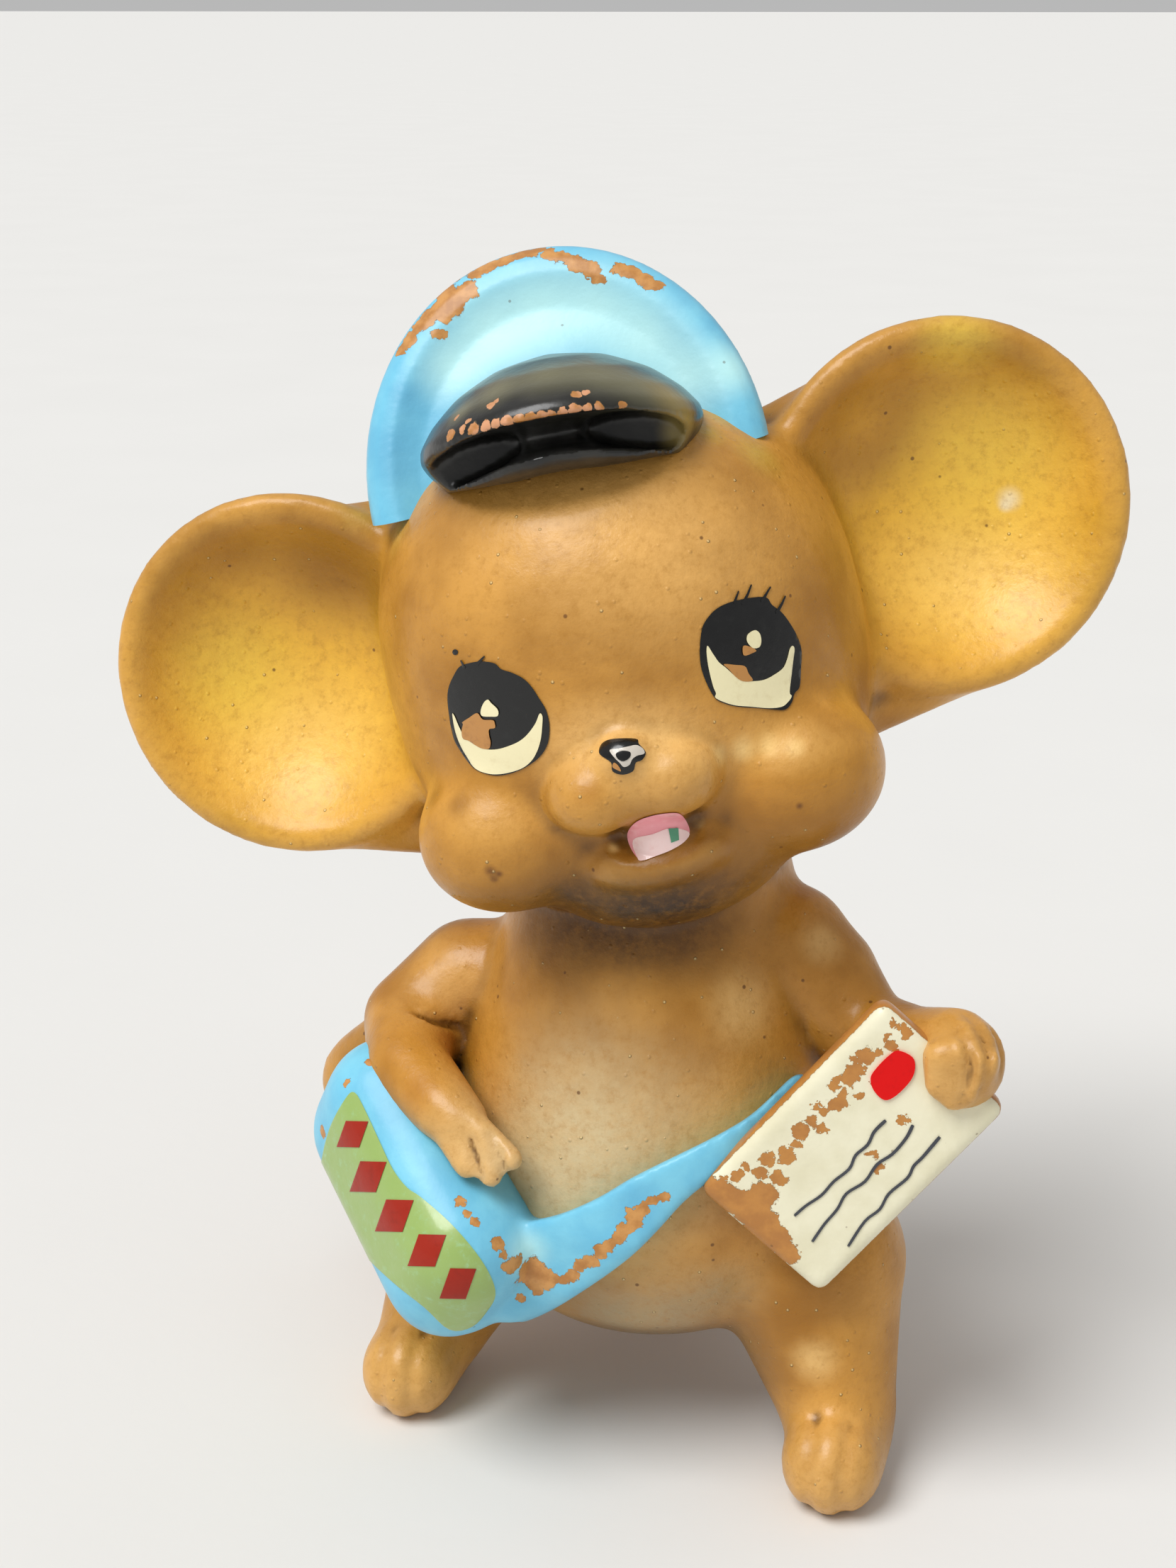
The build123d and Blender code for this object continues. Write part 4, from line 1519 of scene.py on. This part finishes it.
# Olive overspray and painted sheen on the top of the black peak
PEAK_OVERSPRAY_AND_SHEEN: Marks = (
    (900, 540, 80), (840, 526, 84), (770, 528, 80), (700, 550, 64), (650, 580, 40),
)
PEAK_GOLDEN: Marks = (
    (950, 560, 70), (968, 590, 50), (955, 612, 36),
)
SATCHEL_WORN: Marks = (
    (746, 1792, 42), (722, 1782, 26), (772, 1802, 34), (754, 1812, 24), (797, 1805, 19), (808, 1798, 20),
    (820, 1787, 20), (834, 1778, 21), (849, 1766, 22), (862, 1756, 20), (872, 1746, 21), (884, 1733, 20),
    (897, 1722, 21), (908, 1710, 20), (922, 1697, 19), (938, 1689, 17), (701, 1756, 18), (708, 1768, 12),
    (648, 1695, 13), (660, 1712, 12), (670, 1724, 13), (523, 1499, 14), (487, 1526, 13), (456, 1599, 18),
    (730, 1832, 15),
)
# Painted highlights on the pouch's front corner and left edge
SATCHEL_HIGHLIGHTS: Marks = (
    (740, 1765, 50), (470, 1640, 40),
)
SATCHEL_DEEP: Marks = (
    (560, 1560, 60), (640, 1640, 60), (900, 1700, 60),
)
ENVELOPE_WORN: Marks = (
    (1003, 1685, 46), (1030, 1695, 48), (1058, 1706, 48), (1072, 1728, 46), (1090, 1750, 44),
    (1108, 1768, 34), (1078, 1686, 34), (1278, 1454, 20), (1260, 1476, 17), (1250, 1462, 13),
    (1238, 1484, 14), (1222, 1488, 22), (1212, 1508, 17), (1200, 1520, 24), (1190, 1542, 14),
    (1182, 1556, 24), (1164, 1566, 15), (1146, 1584, 19), (1128, 1598, 20), (1124, 1616, 13),
    (1112, 1630, 19), (1100, 1660, 22), (1178, 1530, 16), (1160, 1592, 12), (1084, 1634, 20),
    (1072, 1656, 20), (1052, 1646, 12), (1040, 1660, 16), (1020, 1666, 15), (1236, 1524, 12),
    (1150, 1562, 12), (1207, 1498, 13), (1189, 1524, 13), (1176, 1558, 13), (1211, 1545, 13),
    (1276, 1580, 13), (1231, 1627, 12), (1241, 1649, 12), (1262, 1446, 14),
)

PALE, GREY, SAND, DARK = srgb(206, 184, 140), srgb(112, 98, 74), srgb(232, 184, 112), srgb(134, 84, 14)

# Colour, place from the ear's middle, radii and share
EAR_AIRBRUSH_AND_PAINTED_LIGHT = (
    (srgb(254, 202, 66), (1.0, 2.0, -1.5), (16.0, 12.0, 16.0), 1.0),
    # Painted highlight: lighter gold low in the dish
    (srgb(246, 204, 110), (1.0, 3.0, -5.0), (9.0, 8.0, 7.0), 0.7),
    # Painted shade: dark brown at the top of the dish
    (DARK, (-5.0, 2.6, 6.5), (8.5, 6.0, 6.5), 0.85),
    (srgb(214, 156, 66), (-12.5, 0.0, -2.0), (5.0, 8.0, 13.0), 0.7),
)
# Colour, place in the head's frame, radii and share
HEAD_AIRBRUSH_AND_PAINTED_LIGHT = (
    # Painted highlight on the forehead
    (srgb(242, 188, 108), (2.0, -12.0, 8.5), (15.0, 9.0, 11.0), 0.85),
    (srgb(250, 202, 126), (0.0, -15.0, -2.6), (8.5, 5.0, 4.6), 0.9),
    # Painted highlights on the tops of both cheeks
    (srgb(230, 178, 98), (8.5, -13.0, -4.6), (5.5, 5.0, 2.4), 0.8),
    (srgb(224, 170, 90), (-9.0, -13.0, -5.6), (4.5, 5.0, 2.6), 0.7),
    # Darker lower cheeks, lower face and chin: airbrushed brown and painted shade
    (srgb(176, 118, 30), (9.5, -12.0, -9.5), (7.0, 6.0, 4.0), 0.8),
    (srgb(186, 126, 36), (-9.5, -12.0, -10.5), (6.0, 6.0, 3.5), 0.7),
    (srgb(112, 68, 8), (-9.5, -9.5, -12.6), (9.0, 9.0, 6.0), 0.8),
    (srgb(112, 68, 8), (10.0, -9.5, -12.2), (9.0, 9.0, 6.0), 0.8),
    (srgb(56, 30, 2), (-0.5, -12.0, -14.0), (15.0, 10.5, 6.8), 1.0),
)
# Colour, place from the torso's axis, radii and share
TORSO_AIRBRUSH_AND_PAINTED_SHADE = (
    # Painted shadow of the head on the throat
    (srgb(70, 38, 2), (-0.5, -7.5, 38.6), (14.0, 11.0, 6.2), 1.0),
    (srgb(214, 170, 104), (8.0, -11.5, 26.0), (7.5, 8.0, 9.0), 0.6),
    (srgb(176, 116, 32), (-13.5, -11.0, 27.5), (5.0, 5.0, 4.0), 0.6),
    # Painted shade under the right elbow
    (srgb(92, 58, 16), (-13.5, -4.5, 25.5), (6.0, 5.0, 4.0), 0.6),
    (PALE, (-1.5, -14.0, 24.5), (12.5, 9.0, 13.5), 1.0),
    (PALE, (-5.5, -14.5, 20.5), (8.0, 6.0, 8.0), 0.95),
    (GREY, (1.5, -8.0, 8.5), (14.0, 13.0, 7.5), 1.0),
    (PALE, (3.5, -13.0, 12.0), (6.5, 5.0, 3.5), 0.35),
    (DARK, (12.5, -6.0, 13.5), (6.0, 8.0, 7.0), 0.45),
    (SAND, (15.5, -12.5, 2.5), (6.5, 7.5, 6.5), 0.8),
    (SAND, (-15.5, -10.0, 2.5), (6.5, 7.5, 6.5), 0.8),
    (SAND, (21.5, -10.5, 31.5), (6.0, 6.0, 6.0), 0.7),
    (SAND, (-9.5, -15.0, 24.5), (6.0, 5.0, 4.0), 0.6),
    (SAND, (-13.5, -6.0, 32.0), (5.5, 6.0, 4.5), 0.5),
)
# Colour, share and places in the photograph
CLAY_DABS = (
    (srgb(196, 158, 60), 0.8, ((1020, 590, 46), (1070, 640, 60), (1000, 610, 40))),
    (srgb(190, 150, 60), 0.6, ((505, 725, 50), (560, 760, 50))),
    # Painted shade in the fold between the eye and the cheek
    (srgb(118, 72, 8), 0.5, ((590, 1092, 36), (612, 1122, 34), (646, 1136, 30))),
    # Painted highlights along the cheek top and at the mouth corners
    (srgb(246, 206, 132), 0.75, (
        (1014, 1066, 26), (1048, 1056, 28), (1086, 1052, 28), (1120, 1054, 24), (866, 1196, 13),
        (985, 1160, 13),
    )),
    (srgb(96, 50, 12), 0.8, ((692, 1229, 14), (704, 1233, 9), (697, 1240, 10), (1128, 1137, 8))),
    # Painted glint on the rim of the left ear
    (srgb(250, 244, 226), 0.9, ((1424, 703, 24), (1418, 712, 14))),
    (srgb(255, 220, 84), 0.6, ((1390, 640, 170), (1350, 480, 90), (330, 950, 130))),
    (srgb(226, 170, 54), 0.7, ((1220, 600, 80),)),
    # Painted shade at the top of the right ear's dish
    (srgb(150, 100, 16), 0.6, ((320, 780, 80),)),
    # Darker brown: painted shade under the muzzle, and on the right forearm
    (srgb(176, 116, 34), 0.7, ((830, 1120, 34), (590, 1540, 50))),
    # Painted shadow under the chin
    (srgb(40, 22, 2), 0.5, ((880, 1275, 90), (800, 1265, 70), (960, 1270, 70))),
    (srgb(236, 194, 124), 0.7, ((1050, 1420, 80), (1160, 1330, 46), (1150, 1920, 50))),
    (srgb(158, 144, 112), 0.6, ((940, 1840, 120), (860, 1850, 90), (1020, 1820, 90))),
)


def bare_places(tree: BVHTree, marks: Marks, share: float = 1.0) -> tuple[Cloud, ...]:
    """Places where paint has flaked off a surface."""
    return dabs(tree, srgb(0, 0, 0), share, marks)


@dataclass
class Mouse:
    """The whole ornament."""

    body: CastBody = field(default_factory=CastBody)
    cap: Cap = field(default_factory=Cap)
    satchel: Satchel = field(default_factory=Satchel)
    envelope: Envelope = field(default_factory=Envelope)

    def clay(self, skin: Piece) -> Material:
        """The clay with its airbrush passes, painted shade and painted highlights, laid on the whole skin."""
        head = self.body.head
        clouds = []
        for side in Side:
            for colour, (aside, back, up), radii, share in EAR_AIRBRUSH_AND_PAINTED_LIGHT:
                x, y, z = head.ear_middle
                middle = head.beside(side, (x + aside, y + back, z + up))
                clouds.append(Cloud(colour, on_head(middle), radii, share))
        for to_bench, soft_patch in ((on_head, HEAD_AIRBRUSH_AND_PAINTED_LIGHT), (on_torso, TORSO_AIRBRUSH_AND_PAINTED_SHADE)):
            clouds += [Cloud(colour, to_bench(middle), radii, share) for colour, middle, radii, share in soft_patch]
        tree = tree_of(skin)
        for colour, share, marks in CLAY_DABS:
            clouds += dabs(tree, colour, share, marks)
        return AirbrushedClay(clouds=tuple(clouds)).make()

    @staticmethod
    def blue(name: str, tree: BVHTree, worn: Marks, pale: Marks, deep: Marks) -> Material:
        """Blue overglaze on one surface, with its bare places, its pale places laid as painted highlights and
        its deep places.
        """
        return FlakingPaint(
            name, srgb(110, 190, 222), srgb(126, 204, 230), worn=bare_places(tree, worn),
            tints=dabs(tree, srgb(198, 246, 244), 0.8, pale) + dabs(tree, srgb(96, 172, 208), 0.6, deep),
        ).make()

    def make(self) -> None:
        """Build and dress every piece."""
        skin = self.body.make()
        clay = self.clay(skin)
        paint_face(skin)
        for node, member in self.body.part(skin).items():
            dress(member, clay, Slot.BROWN, node)
        self.make_cap()
        self.make_satchel()
        self.make_envelope()

    def make_cap(self) -> None:
        """The cap's crown and peak."""
        crown, peak = self.cap.make_crown(), self.cap.make_peak()
        crown_blue = self.blue("crown_overglaze", tree_of(crown), CROWN_WORN, CROWN_HIGHLIGHT, CROWN_DEEP)
        dress(crown, crown_blue, Slot.BLUE, "cap_crown")
        tree = tree_of(peak)
        black = FlakingPaint(
            "black_overglaze", srgb(26, 26, 25), srgb(44, 43, 40),
            worn=bare_places(tree, PEAK_WORN, 0.9),
            tints=dabs(tree, srgb(118, 114, 84), 0.8, PEAK_OVERSPRAY_AND_SHEEN)
            + dabs(tree, srgb(150, 132, 76), 0.85, PEAK_GOLDEN),
            clay=srgb(216, 156, 116), fray=0.45, rough=0.28, coat=0.3,
        ).make()
        dress(peak, black, Slot.BLACK, "cap_peak")

    def make_satchel(self) -> None:
        """The pouch with its panel, and the strap."""
        pieces = self.satchel.make()
        both = join([copy_of(piece) for piece in pieces.values()])
        blue = self.blue("satchel_overglaze", tree_of(both), SATCHEL_WORN, SATCHEL_HIGHLIGHTS, SATCHEL_DEEP)
        bpy.data.objects.remove(both)
        PouchPanel().make(pieces["satchel"])
        for node, piece in pieces.items():
            dress(piece, blue, Slot.BLUE, node)

    def make_envelope(self) -> None:
        """The envelope with its seal and lines."""
        plate = self.envelope.make()
        cream = FlakingPaint(
            "cream_overglaze", srgb(238, 233, 204), srgb(228, 222, 190),
            worn=bare_places(tree_of(plate), ENVELOPE_WORN), clay=srgb(194, 134, 66),
            fray=0.8, fray_size=0.9, rough=0.36,
        ).make()
        EnvelopeInk().make(plate)
        dress(plate, cream, Slot.CREAM, "envelope")


@dataclass
class Studio:
    """A plain pale floor under soft light."""

    floor_size: float = 60.0
    floor_colour: Colour = srgb(226, 225, 222)
    sun: float = 2.55
    sun_angle: float = 34.0
    sun_place: Point = (-0.24, -0.36, 0.7)
    sun_target: Point = (0.02, 0.0, 0.0)
    sky: float = 0.48

    def make(self) -> None:
        """Set up the floor, the sky and the soft sun."""
        clear_selection()
        bpy.ops.mesh.primitive_plane_add(size=self.floor_size)
        floor = bpy.context.object
        floor.name = "floor"
        shader = Shader("pale_floor")
        colour = shader.mix(shader.noise(40.0), self.floor_colour, srgb(222, 221, 218))
        grain = shader.bump(shader.noise(2.0), 0.02)
        floor.data.materials.append(shader.close(colour, 0.75, grain, 0.0, 0.3))
        bpy.ops.object.light_add(type="SUN", location=self.sun_place)
        key = bpy.context.object
        key.data.energy = self.sun
        key.data.angle = math.radians(self.sun_angle)
        line = Vector(self.sun_target) - key.location
        key.rotation_euler = line.to_track_quat("-Z", "Y").to_euler()
        world = bpy.data.worlds.new("studio")
        bpy.context.scene.world = world
        world.use_nodes = True
        sky = world.node_tree.nodes["Background"]
        sky.inputs["Color"].default_value = (1.0, 1.0, 1.0, 1.0)
        sky.inputs["Strength"].default_value = self.sky
        bpy.context.scene.view_settings.view_transform = "Standard"


def main() -> None:
    """Build the mouse and the studio, and note the sizes."""
    logging.basicConfig(level=logging.INFO, format="%(message)s")
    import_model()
    clear_selection()
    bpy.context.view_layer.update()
    VIEW.stand()
    Mouse().make()
    Studio().make()
    clear_selection()


if __name__ == "__main__":
    main()
